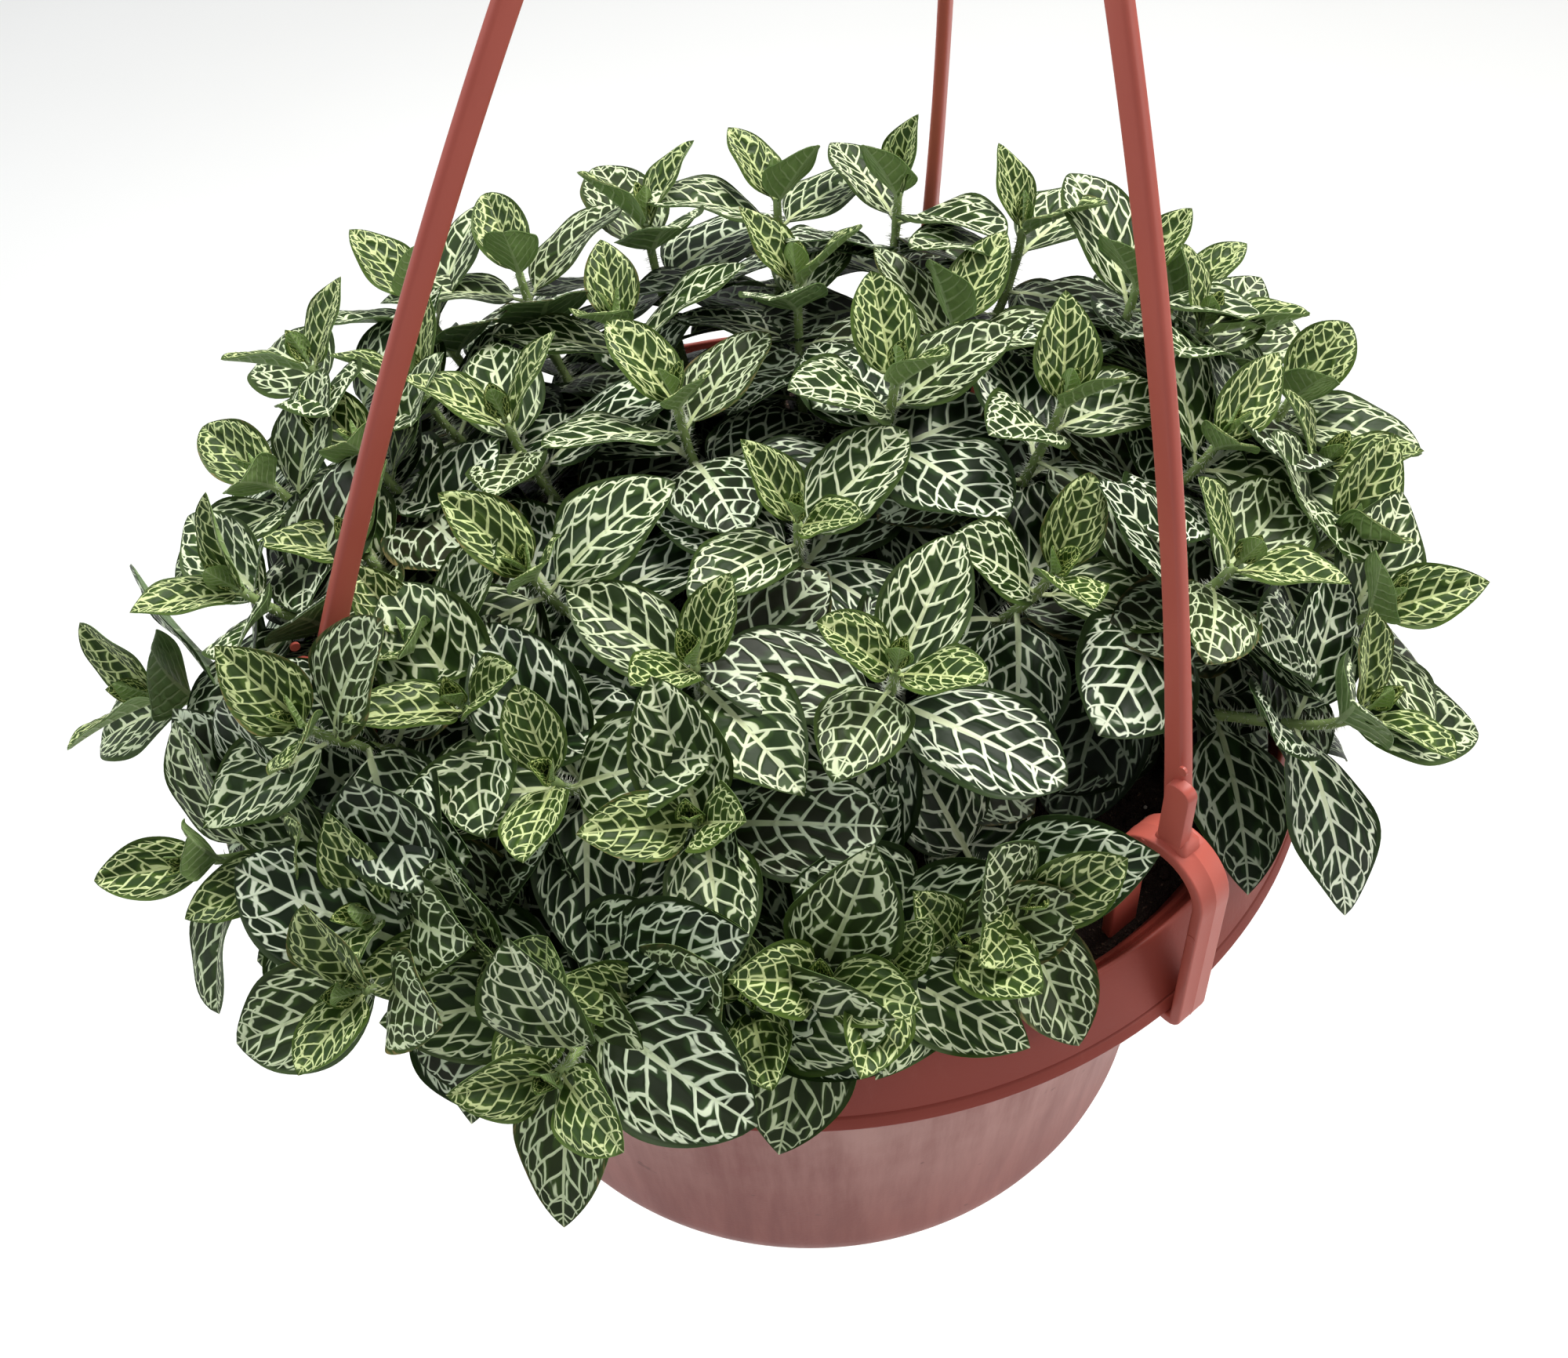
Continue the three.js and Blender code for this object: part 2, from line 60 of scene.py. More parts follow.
SOIL_EDGE_BELOW_RIM = 13.0
SOIL_CROWN = 11.0
SOIL_EDGE_RADIUS, SOIL_LAP = 117.5, 0.3
SOIL_BODY = [(111.4, LIP_HEIGHT), (98.4, 26.0), (76.0, 3.0)]
SOIL_ROUGHNESS = 2.2
SOIL_SIDES, SOIL_RINGS = 160, 46

# Loose grains: how many, the smallest and largest size, and the first of their own draws.
CRUMBS, PERLITE_GRAINS = (1500, 0.7, 2.6, 31), (170, 0.8, 2.0, 47)

APEX = np.array([24.5, 1.0, POT_HEIGHT + 323.0])
ARM_HEAD_OFFSET = 6.5
ARM_FOOT_RADIUS = 125.2
ARM_FOOT_ABOVE_RIM = 32.0
ARM_FOOT_HEIGHT = POT_HEIGHT + ARM_FOOT_ABOVE_RIM
ARM_DEPTH, ARM_WIDTH = 5.4, 3.4
ARM_FOOT_DEPTH, ARM_FOOT_WIDTH = 6.0, 4.0
ARM_CORNER, ARM_ROOT, ARM_TAPER_RATE, ARM_STEPS = 1.2, 2.5, 5, 72
ARM_FLARE, ARM_FLARE_RISE = (3.5, 2.6), 1.7
ARMS = {"arm_right": (-50.0, 12.6), "arm_back": (71.0, 22.0), "arm_left": (205.0, 10.8)}

CLIP_WIDTH, CLIP_THICKNESS = 9.5, 3.0
CLIP_INNER_LEG, CLIP_OUTER_LEG = 113.8, 136.7
CLIP_INNER_END = 152.0
CLIP_CORNER, CLIP_TOE, CLIP_SEAM = 0.6, 1.9, 0.12
CLIP_MIDDLE, CLIP_ARCH = (CLIP_OUTER_LEG + CLIP_INNER_LEG) / 2, (CLIP_OUTER_LEG - CLIP_INNER_LEG) / 2
CLIP_SPRING = ARM_FOOT_HEIGHT - CLIP_THICKNESS / 2 - CLIP_ARCH
PAD_DEPTH, PAD_HEIGHT, PAD_STANDS_OUT, PAD_INWARD, PAD_CORNER = 6.6, 20.0, 2.9, 0.2, 2.6
STUD_RADIUS, STUD_HEIGHT = 1.15, 0.14

HUB_RADIUS, HUB_HEIGHT, HUB_BELOW_APEX, HUB_EDGE = 11.0, 20, 12, 2.0
HOOK_THROAT, HOOK_NECK, HOOK_SWEEP = 15, 14, 235
HOOK_DEPTH, HOOK_WIDTH, HOOK_CORNER, HOOK_STEPS = 7.0, 6.0, 1.8, 36

# Rows of shoots: how many, and where the row's first and last growing tips stand: azimuth in degrees,
# reach from the pot's axis, height above the rim, lean outwards in degrees.
ROWS = [
    (3, (30, 30, 68, 5), (270, 28, 64, 5)),
    (9, (8, 68, 66, 12), (328, 70, 54, 16)),
    (6, (32, 104, 66, 6), (130, 106, 60, 10)),
    (7, (156, 102, 56, 18), (256, 98, 44, 26)),
    (3, (-22, 104, 56, 22), (22, 108, 62, 16)),
    (5, (264, 120, 16, 30), (294, 116, 18, 26)),
    (5, (142, 128, 54, 22), (212, 134, 52, 30)),
    (5, (219, 142, 24, 40), (254, 128, 12, 36)),
    (7, (-25, 140, 34, 30), (34, 122, 50, 20)),
    (4, (191, 158, 24, 54), (251, 150, 18, 46)),
]
TURN_STEP = 68.0

# How far a tip strays from its row: azimuth, reach, height and lean.
TIP_SWING, TIP_SHIFT, TIP_RISE, LEAN_SWING = 1.5, 4.0, 4.0, 5.0

ROOT_SHARE, ROOT_LIMIT, ROOT_SWING, ROOT_STRAY = 0.72, 96.0, 2.0, 4.0
STEM_RADIUS = 1.5
STEM_RISE, STEM_SWEEP_IN = 0.6, 0.4
STEM_RINGS, STEM_SIDES, STEM_TAPER = 22, 10, 0.35
JOINT_REACH, JOINT_SWELL = 1.8, 0.22
HAIRS_PER_MM, HAIR_WIDTH, HAIR_LENGTH = 8, 0.08, (1.8, 0.7)
HAIR_FACES = [(0, 1, 3), (1, 2, 3), (2, 0, 3), (0, 2, 1)]
SEEDS_PER_STEM = 997
CONTACT_GAP = 0.35

# Leaf pairs from the tip of a shoot downwards: distance below the tip, leaf length, opening from the
# stem and bend along the leaf in degrees, how far the leaf turns its face to the sky, how much of its
# climb or fall it loses in spreading level, and how young it is: 1 is just unfurled, and below 0 is old
# and darkened, partly for its age and partly with painted shade for lying deep in the foliage.
# Pairs before FIRST_FULL_PAIR are young, and those from LOW_PAIRS on are low down.
PAIR_FIELDS = ("below", "length", "open", "bend", "skyward", "level", "youth")
PAIRS = [dict(zip(PAIR_FIELDS, pair)) for pair in (
    (-1.0, 11, 15, -8, 0.0, 0.0, 1.0),
    (1.5, 27, 36, 12, 0.1, 0.05, 0.75),
    (8, 38, 52, 26, 0.3, 0.15, 0.3),
    (18, 43, 66, 30, 0.5, 0.35, 0.0),
    (26, 43, 74, 30, 0.5, 0.45, -0.2),
    (36, 43, 84, 34, 0.6, 0.5, -0.5),
    (48, 42, 94, 34, 0.7, 0.6, -0.8),
)]
FIRST_FULL_PAIR, LOW_PAIRS = 2, 4
LOWEST_JOINT = 8.0
KEYS_PER_SHOOT = 8

# What a leaf that meets the pot or hanger tries in turn: share of full length, and lift in degrees.
LEAF_TRIES = [(1, 0), (1, 14), (1, -14), (0.95, 28), (0.9, -28), (0.9, 42), (0.75, 20), (0.75, 56), (0.6, 0)]
LEAF_CLEARANCE, COLLAR_CLEARANCE = 0.6, 3.0

LEAF_ROWS, LEAF_HALF_COLUMNS = 26, 6

# How much leaves vary: where there are two numbers, the second is the stray.
TWIST_STRAY, OPEN_STRAY, LENGTH_STRAY, BEND_STRAY, ROLL_STRAY = 14, 10, 0.12, 0.5, 10
BASE_POWER, TIP_POWER = (0.64, 0.08), (0.86, 0.14)
HALF_WIDTH = (0.325, 0.03)
FOLD = (14, 8)

# The petiole's share of the length and its half width, how much more a young leaf folds, the rise
# between side veins, the margin's ruffle and its waves, and half the thickness of blade and petiole.
PETIOLE, PETIOLE_HALF_WIDTH = 0.11, 0.75
YOUNG_FOLD, PUCKER = 0.35, 0.35
RUFFLE, RUFFLE_WAVES = 0.055, 1.6
BLADE_THICKNESS, PETIOLE_THICKNESS = 0.22, 0.45

# The net of veins: side veins to a side, cells from rib to margin, how they crowd towards the margin,
# and how many patterns there are either way.
SECONDARY_VEINS = 6.5
NET_CELLS, NET_CROWDING = 3.6, 1.3
SEED_SPREAD = 90

# The camera: distance from the middle of the rim, elevation and roll in degrees, and where it aims
# from there.
LENS, SENSOR = 45.0, 36.0
CAMERA_DISTANCE, CAMERA_ELEVATION, CAMERA_ROLL = 515.6, 46.6, -2.67
CAMERA_AIM = np.array([-4.7, 0, -18.2])

# In metres and watts: a light's place, size, power and colour.
FLOOR_REACH, FLOOR_HEIGHT = 6.0, -0.45
SKY_COLOUR, SKY_STRENGTH = (0.96, 0.98, 1.0), 0.45
LIT_PLACE = (0, 0, 0.2)
LIGHTS = {
    "key": ((0.5, 0.75, 1.7), 0.9, 40.0, (1.0, 0.985, 0.96)),
    "side": ((1.5, -0.5, 0.7), 0.9, 9.0, (1.0, 0.97, 0.94)),
    "window": ((-1.3, 0.2, 1.2), 1.2, 12.0, (0.9, 0.95, 1.0)),
}


# -------- colours

def srgb(red, green, blue):
    """A scene-linear colour from 0 to 255 screen values."""
    def linear(c):
        c /= 255
        return c / 12.92 if c <= 0.04045 else ((c + 0.055) / 1.055) ** 2.4
    return (linear(red), linear(green), linear(blue), 1.0)


# Where there are two colours, a surface is clouded between them.
LEAF_DARK = srgb(10, 24, 6), srgb(26, 46, 14)
LEAF_BROWN = srgb(34, 34, 20), srgb(56, 56, 38)
LEAF_FRESH = srgb(38, 62, 16), srgb(62, 88, 28)
LEAF_BELOW = srgb(88, 116, 70), srgb(118, 146, 92)
LEAF_BELOW_FRESH = srgb(122, 152, 84), srgb(160, 184, 118)
LEAF_SCORCH = srgb(138, 118, 78)
# First colour: a leaf's random tint. Second colour: darkening of the lower, older leaves, partly their real
# age and partly painted shade for lying deep in the foliage.
LEAF_TINT, LEAF_OLD_PAINTED_SHADE = srgb(190, 204, 176), srgb(104, 118, 114)
STEM_SKIN = srgb(96, 124, 62), srgb(150, 168, 104)
STEM_FOOT, STEM_HAIR = srgb(92, 84, 56), srgb(226, 230, 214)

# Where there are two colours here, the first is a full-grown leaf's and the second a young one's.
MARGIN = srgb(44, 62, 26), srgb(92, 114, 46)
VEIN = srgb(232, 240, 214), srgb(208, 218, 140)
VEIN_HALO = srgb(70, 104, 52), srgb(120, 146, 56)
RIB_FOOT, VEIN_BELOW = srgb(196, 206, 128), srgb(190, 206, 160)

COLLAR, COLLAR_SCUFF = (srgb(132, 54, 44), srgb(152, 68, 56)), srgb(176, 104, 90)
BOWL, BOWL_BLOOM = (srgb(128, 56, 47), srgb(144, 70, 60)), srgb(190, 150, 142)
# First colour: a painted shadow that the collar casts on the top of the bowl. Second colour: dark flecks in
# the plastic.
BOWL_COLLAR_SHADOW, BOWL_FLECK = srgb(124, 60, 52), srgb(96, 52, 46)
HANGER = srgb(170, 78, 66), srgb(188, 94, 80)
SOIL, SOIL_SPECK = (srgb(20, 16, 16), srgb(66, 52, 45)), srgb(112, 92, 76)
PERLITE = srgb(150, 146, 138), srgb(214, 210, 200)
FLOOR = srgb(240, 240, 238), srgb(246, 246, 245)


# -------- small tools

def chance(index, salt):
    """A repeatable number from -1 to 1 for one leaf or shoot."""
    wave = math.sin(index * 12.9898 + salt * 78.233) * 43758.5453
    return 2 * (wave - math.floor(wave)) - 1


def varied(middle_and_stray, key, salt):
    return middle_and_stray[0] + middle_and_stray[1] * chance(key, salt)


def unit(v):
    return v / np.linalg.norm(v)


def turned(a, b, angle):
    """The direction at an angle in radians from a towards b."""
    return a * math.cos(angle) + b * math.sin(angle)


def heading(degrees):
    return turned(ACROSS, AWAY, math.radians(degrees))


def placed(name, data):
    """A new object in the scene."""
    made = bpy.data.objects.new(name, data)
    bpy.context.scene.collection.objects.link(made)
    return made


def metre_mesh(name, points, faces):
    """A mesh in metres from points in millimetres."""
    mesh = bpy.data.meshes.new(name)
    mesh.from_pydata((np.asarray(points) * MM).tolist(), [], faces)
    return mesh


def stand_in(piece, material, node):
    """The finished piece, riding on the one body in the place of the CAD node."""
    piece.data.polygons.foreach_set("use_smooth", [True] * len(piece.data.polygons))
    piece.data.materials.append(material)
    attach(piece, "root")
    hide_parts(node)


def mesh_object(name, points, faces, material, slot, node):
    """A piece made of one mesh."""
    mesh = metre_mesh(name, points, faces)
    mesh.validate()
    piece = placed(name, mesh)
    stand_in(piece, material, node)
    return piece


def grid_faces(rows, columns, offset=0, flip=False, wrap=False):
    """Quads of a grid of points stored row by row."""
    faces = []
    last = columns if wrap else columns - 1
    for i in range(rows - 1):
        for j in range(last):
            a = offset + i * columns + j
            b = offset + i * columns + (j + 1) % columns
            quad = (a, b, b + columns, a + columns)
            faces.append(quad[::-1] if flip else quad)
    return faces


def bar_faces(rings, around):
    """The faces of a closed bar: rings of points joined by quads, and a flat face at each end."""
    ends = [tuple(range(around))[::-1], tuple((rings - 1) * around + j for j in range(around))]
    return grid_faces(rings, around, wrap=True) + ends


def ring(radius, z, sides):
    """Points round a circle about the pot's axis."""
    angles = [2 * math.pi * j / sides for j in range(sides)]
    return [(radius * math.cos(angle), radius * math.sin(angle), z) for angle in angles]


# -------- node helpers

class Nodes:
    """A short way to write a material's node tree."""

    def __init__(self, name):
        self.material = bpy.data.materials.new(name)
        self.material.use_nodes = True
        self.tree = self.material.node_tree
        self.shader = self.tree.nodes["Principled BSDF"]

    def node(self, kind, inputs=None, **settings):
        made = self.tree.nodes.new("ShaderNode" + kind)
        for key, value in settings.items():
            setattr(made, key, value)
        for key, value in (inputs or {}).items():
            self.put(made.inputs[key], value)
        return made

    def put(self, socket, value):
        if isinstance(value, bpy.types.NodeSocket):
            self.tree.links.new(value, socket)
        else:
            socket.default_value = value

    def math(self, operation, a, b=None, c=None, clamp=False):
        inputs = {place: value for place, value in enumerate((a, b, c)) if value is not None}
        return self.node("Math", inputs, operation=operation, use_clamp=clamp).outputs[0]

    def times(self, a, b):
        return self.math("MULTIPLY", a, b)

    def plus(self, a, b):
        return self.math("ADD", a, b)

    def minus(self, a, b):
        return self.math("SUBTRACT", a, b)

    def size(self, a):
        return self.math("ABSOLUTE", a)

    def mix(self, share, a, b, blend="MIX"):
        made = self.node("Mix", {0: share, 6: a, 7: b}, data_type="RGBA", blend_type=blend)
        return made.outputs[2]

    def ramp(self, value, low, high, start=0.0, end=1.0):
        """A smooth step from start at low to end at high."""
        inputs = {0: value, 1: low, 2: high, 3: start, 4: end}
        return self.node("MapRange", inputs, interpolation_type="SMOOTHSTEP").outputs[0]

    def fall(self, value, low, high):
        """A smooth step down from 1 at low to 0 at high."""
        return self.ramp(value, low, high, 1.0, 0.0)

    def noise(self, vector, scale, detail=3.0, roughness=0.5):
        inputs = {"Vector": vector, "Scale": scale, "Detail": detail, "Roughness": roughness}
        return self.node("TexNoise", inputs).outputs["Fac"]

    def attribute(self, name):
        return self.node("Attribute", attribute_name=name).outputs["Vector"]

    def split(self, vector):
        made = self.node("SeparateXYZ", {0: vector})
        return made.outputs[0], made.outputs[1], made.outputs[2]

    def join(self, x, y, z):
        return self.node("CombineXYZ", {0: x, 1: y, 2: z}).outputs[0]

    def position(self):
        return self.node("TexCoord").outputs["Object"]

    def bump(self, height, strength, distance):
        made = self.node("Bump", {"Height": height, "Strength": strength, "Distance": distance})
        self.put(self.shader.inputs["Normal"], made.outputs[0])

    def set(self, **values):
        for key, value in values.items():
            self.put(self.shader.inputs[key.replace("_", " ")], value)


# -------- leaf material

def rungs_between(n, net_place, cross, in_band, band, draw):
    """Cross-links between side veins: how far a point is from one, and where they are drawn."""
    slant = n.times(in_band, n.math("MULTIPLY_ADD", draw, 0.9, -0.3))
    stray = n.times(n.noise(net_place, 0.9, 0.0), 0.9)
    offset = n.plus(n.math("FRACT", n.times(band, 0.5)), n.times(draw, 0.4))
    place = n.plus(n.plus(cross, offset), n.plus(slant, stray))
    off = n.size(n.minus(n.math("FRACT", place), 0.5))
    kept = n.ramp(n.noise(net_place, 1.3, 0.0), 0.34, 0.42)
    return off, n.times(n.fall(off, 0.05, 0.1), kept)


def margin_loops(n, shifted_row, from_edge, draw):
    """Scalloped veins that run inside the margin: one all along it, and short lengths of a second."""
    scallop = n.times(n.math("COSINE", n.times(shifted_row, 2 * math.pi)), 0.04)
    loop_off = n.size(n.minus(from_edge, n.plus(scallop, 0.2)))
    second_off = n.size(n.minus(from_edge, n.math("MULTIPLY_ADD", scallop, -0.8, 0.42)))
    second = n.times(n.fall(second_off, 0.01, 0.03), n.ramp(draw, 0.4, 0.45))
    return n.math("MAXIMUM", n.fall(loop_off, 0.012, 0.034), second)


def vein_net(n, from_rib, from_edge, along):
    """All veins, side veins, midrib, what lies inside the plain margin, distance from a vein, and place."""
    row, sideways, seed_place = n.split(n.attribute("net"))
    cross, half = n.size(sideways), n.math("GREATER_THAN", sideways, 0.0)
    seed = n.math("FLOOR", seed_place)
    wobble = n.minus(n.noise(n.join(row, sideways, seed), 1.1, 1.0), 0.5)
    shifted_row = n.plus(row, n.times(wobble, 0.34))
    net_place = n.join(shifted_row, sideways, 0.0)
    band = n.math("FLOOR", shifted_row)
    in_band = n.minus(n.math("FRACT", shifted_row), 0.5)
    draw = n.node("TexWhiteNoise", {"Vector": n.join(band, seed, half)}).outputs["Value"]
    rung_off, rungs = rungs_between(n, net_place, cross, in_band, band, draw)

    side_off = n.minus(0.5, n.size(in_band))
    side_width = n.ramp(from_edge, 0.05, 1.0, 0.035, 0.085)
    sides = n.fall(n.minus(side_off, side_width), -0.015, 0.03)
    rib_width = n.ramp(along, 0.1, 1.0, 0.78, 0.22)
    rib = n.fall(n.minus(from_rib, rib_width), -0.08, 0.12)

    inside = n.ramp(from_edge, 0.08, 0.13)
    loops = margin_loops(n, shifted_row, from_edge, draw)
    fine = n.math("MAXIMUM", n.math("MAXIMUM", rungs, sides), loops)
    veins = n.math("MAXIMUM", n.times(fine, inside), rib, clamp=True)
    off_vein = n.math("MINIMUM", n.times(side_off, 2.0), rung_off)
    return veins, sides, rib, inside, off_vein, net_place


def leaf_material():
    """Dark green leaf with a net of pale veins, drawn from each leaf's own coordinates."""
    n = Nodes("fittonia_leaf")
    from_rib, from_edge, along = n.split(n.attribute("blade"))
    face, youth, tone = n.split(n.attribute("kind"))
    veins, sides, rib, inside, off_vein, net_place = vein_net(n, from_rib, from_edge, along)

    clouds = n.noise(n.position(), 60.0, 4.0)
    brown = n.ramp(tone, 0.55, 0.95)
    dark = n.mix(n.times(brown, 0.75), n.mix(clouds, *LEAF_DARK), n.mix(clouds, *LEAF_BROWN))
    ground = n.mix(youth, dark, n.mix(clouds, *LEAF_FRESH))
    ground = n.mix(n.ramp(from_edge, 0.03, 0.15, 0.85, 0.0), ground, n.mix(youth, *MARGIN))
    halo = n.times(n.ramp(off_vein, 0.1, 0.3, 0.3, 0.0), inside)
    ground = n.mix(halo, ground, n.mix(youth, *VEIN_HALO))
    pale = n.mix(n.times(rib, n.ramp(along, 0.1, 0.75, 0.45, 0.1)), n.mix(youth, *VEIN), RIB_FOOT)
    scorch_place = n.plus(from_edge, n.times(n.noise(net_place, 2.2, 2.0), 0.4))
    scorch = n.times(n.fall(scorch_place, 0.16, 0.26), n.ramp(tone, 0.86, 0.9))
    upper = n.mix(n.times(scorch, 0.8), n.mix(veins, ground, pale), LEAF_SCORCH)

    below = n.mix(youth, n.mix(clouds, *LEAF_BELOW), n.mix(clouds, *LEAF_BELOW_FRESH))
    lower = n.mix(n.times(n.math("MAXIMUM", sides, rib), 0.6), below, VEIN_BELOW)
    colour = n.mix(face, lower, upper)
    colour = n.mix(n.times(tone, 0.35), colour, n.mix(1.0, colour, LEAF_TINT, "MULTIPLY"))
    # Lower, older leaves are darkened, partly for their real age and partly with painted shade for lying
    # deep in the foliage.
    old_and_painted_shade = n.math("MAXIMUM", n.times(youth, -1.0), 0.0)
    colour = n.mix(old_and_painted_shade, colour, n.mix(1.0, colour, LEAF_OLD_PAINTED_SHADE, "MULTIPLY"))
    n.set(Base_Color=colour, Roughness=0.5, Subsurface_Weight=0.05, Specular_IOR_Level=0.22)
    n.set(Subsurface_Radius=(0.4, 1.0, 0.2), Subsurface_Scale=0.001)
    n.bump(n.times(n.ramp(off_vein, 0.0, 0.4), inside), 0.5, 0.0005)
    return n.material


def stem_material():
    """Blotched green stem, brown towards its foot, with pale hairs."""
    n = Nodes("fittonia_stem")
    hair, height, _ = n.split(n.attribute("kind"))
    skin = n.mix(n.noise(n.position(), 220.0, 3.0), *STEM_SKIN)
    skin = n.mix(n.ramp(height, 0.0, 0.5, 0.7, 0.0), skin, STEM_FOOT)
    n.set(Base_Color=n.mix(hair, skin, STEM_HAIR), Roughness=0.6)
    return n.material


# -------- shoots

def soil_height(reach):
    edge = POT_HEIGHT - SOIL_EDGE_BELOW_RIM
    return edge + SOIL_CROWN * (1 - (reach / SOIL_EDGE_RADIUS) ** 2)


def shoot_places():
    """Each shoot's azimuth, reach, height, lean and the turn of its leaf pairs about the stem."""
    shoots = []
    for count, first, last in ROWS:
        for i in range(count):
            index = len(shoots)
            azimuth, reach, height, lean = [a + (b - a) * (i / (count - 1)) for a, b in zip(first, last)]
            shoots.append((azimuth + TIP_SWING * chance(index, 7), reach + TIP_SHIFT * chance(index, 8),
                           height + TIP_RISE * chance(index, 9), lean + LEAN_SWING * chance(index, 10),
                           TURN_STEP * index))
    return shoots


def stem_controls(shoot, index):
    """The four control points of a shoot's stem."""
    azimuth, reach, height, lean, _ = shoot
    out = heading(azimuth)
    root_reach = min(reach * ROOT_SHARE, ROOT_LIMIT) + ROOT_STRAY * chance(index, 5)
    root = heading(azimuth + ROOT_SWING * chance(index, 6)) * root_reach
    root[2] = soil_height(root_reach) + STEM_RADIUS + CONTACT_GAP
    tip = out * reach
    tip[2] = POT_HEIGHT + height
    growth = turned(UP, out, math.radians(lean))
    span = np.linalg.norm(tip - root)
    return root, root + UP * STEM_RISE * span, tip - growth * STEM_SWEEP_IN * span, tip


def on_curve(controls, t):
    a, b, c, d = controls
    s = 1 - t
    point = a * s ** 3 + 3 * b * s * s * t + 3 * c * s * t * t + d * t ** 3
    slope = 3 * (b - a) * s * s + 6 * (c - b) * s * t + 3 * (d - c) * t * t
    return point, unit(slope)


def leaf_places(shoot, index):
    """Where each leaf starts, which way it grows and faces, its length, bend and youth."""
    controls = stem_controls(shoot, index)
    span = np.linalg.norm(controls[3] - controls[0])
    out = heading(shoot[0])
    upright = math.cos(math.radians(shoot[3])) ** 2
    places = []
    for level, pair in enumerate(PAIRS):
        if span < pair["below"] + LOWEST_JOINT:
            continue
        start, axis = on_curve(controls, 1 - max(pair["below"], 0) / span)
        start = start - axis * min(pair["below"], 0)
        first = unit(out - axis * out.dot(axis))
        second = np.cross(axis, first)
        for twin in range(2):
            key = index * KEYS_PER_SHOOT + (level - FIRST_FULL_PAIR) * 2 + twin
            turn = shoot[4] + 90 * (level - FIRST_FULL_PAIR) + 180 * twin
            roll = math.radians(turn + TWIST_STRAY * chance(key, 1))
            opening = math.radians(pair["open"] + OPEN_STRAY * chance(key, 2))
            along = turned(axis, turned(first, second, roll), opening)
            along[2] *= 1 - pair["level"] * upright
            along = unit(along)
            up = axis * (1 - pair["skyward"]) + UP * pair["skyward"]
            face = unit(up - along * up.dot(along))
            places.append({
                "start": start, "along": along, "face": face, "key": key, "level": level,
                "length": pair["length"] * (1 + LENGTH_STRAY * chance(key, 3)),
                "bend": math.radians(pair["bend"] * (1 + BEND_STRAY * chance(key, 4))),
                "youth": pair["youth"],
            })
    return places


def in_collar(points):
    """Which points lie in the pot's collar, between the bowl's inside and the skirt."""
    reach, height = np.hypot(*points[:, :2].T), points[:, 2]
    inside = NECK_RADIUS - WALL + (RIM_RADIUS - NECK_RADIUS) * (height - LIP_HEIGHT) / COLLAR_DROP
    return ((height > LIP_HEIGHT - COLLAR_CLEARANCE) & (height < POT_HEIGHT + LEAF_CLEARANCE)
            & (reach > inside) & (reach < skirt_radius(height) + LEAF_CLEARANCE))


def in_clip(points, out):
    """Which points lie in the fork of the clip that faces outwards along out."""
    radial = points @ out
    aside = np.abs(points @ np.cross(UP, out))
    return ((aside < CLIP_WIDTH / 2 + LEAF_CLEARANCE) & (points[:, 2] < ARM_FOOT_HEIGHT + LEAF_CLEARANCE)
            & (np.abs(radial - CLIP_MIDDLE) < CLIP_ARCH + CLIP_THICKNESS / 2 + LEAF_CLEARANCE))


def arm_controls(out, bow):
    """The three control points of an arm's strand."""
    foot, head = out * ARM_FOOT_RADIUS + UP * ARM_FOOT_HEIGHT, APEX + out * ARM_HEAD_OFFSET
    return foot, (foot + head) / 2 + out * 2 * bow, head


def on_arm(controls, t):
    foot, middle, head = controls
    return foot * (1 - t) ** 2 + 2 * middle * t * (1 - t) + head * t * t


def in_arm(points, out, bow):
    """Which points lie in the strand of the arm above that clip."""
    height = points[:, 2]
    climb = np.clip((height - ARM_FOOT_HEIGHT) / (APEX[2] - ARM_FOOT_HEIGHT), 0, 1)[:, None]
    strand = on_arm(arm_controls(out, bow), climb)
    away = np.hypot(*(points - strand)[:, :2].T)
    return (away < ARM_FOOT_DEPTH / 2 + LEAF_CLEARANCE) & (height > ARM_FOOT_HEIGHT)


def meets_pot_or_hanger(points):
    return in_collar(points).any() or any(
        in_clip(points, heading(azimuth)).any() or in_arm(points, heading(azimuth), bow).any()
        for azimuth, bow in ARMS.values())


def free_leaf(place):
    """The leaf, lifted or shortened only as far as the pot and the hanger make it."""
    along, face = place["along"], place["face"]
    for share, lift in LEAF_TRIES:
        angle = math.radians(lift)
        leaf = leaf_mesh(dict(place, length=place["length"] * share,
                              along=turned(along, face, angle), face=turned(face, -along, angle)))
        if not meets_pot_or_hanger(leaf[0]):
            break
    return leaf


def leaf_widths(key, length, blade):
    """A leaf's half width along its blade, and the same as a share of the widest."""
    base, tip = varied(BASE_POWER, key, 12), varied(TIP_POWER, key, 13)
    peak = base / (base + tip)
    profile = (blade ** base * (1 - blade) ** tip) / (peak ** base * (1 - peak) ** tip)
    half = length * varied(HALF_WIDTH, key, 14) * profile
    return np.maximum(half, PETIOLE_HALF_WIDTH * (1 - blade) ** 0.5), profile


def leaf_spine(place, u):
    """The leaf's middle line, bent in a circle, with its normals and its sideways direction."""
    length, bend, along, face = place["length"], place["bend"], place["along"], place["face"]
    roll = math.radians(ROLL_STRAY * chance(place["key"], 11))
    side = np.cross(face, along)
    side, face = turned(side, face, roll), turned(face, -side, roll)
    turn = bend * u
    safe = bend if abs(bend) > 1e-4 else 1e-4
    centre = (place["start"] + np.outer(length * np.sin(turn) / safe, along)
              - np.outer(length * (1 - np.cos(turn)) / safe, face))
    normal = np.outer(np.cos(turn), face) + np.outer(np.sin(turn), along)
    return centre, normal, side


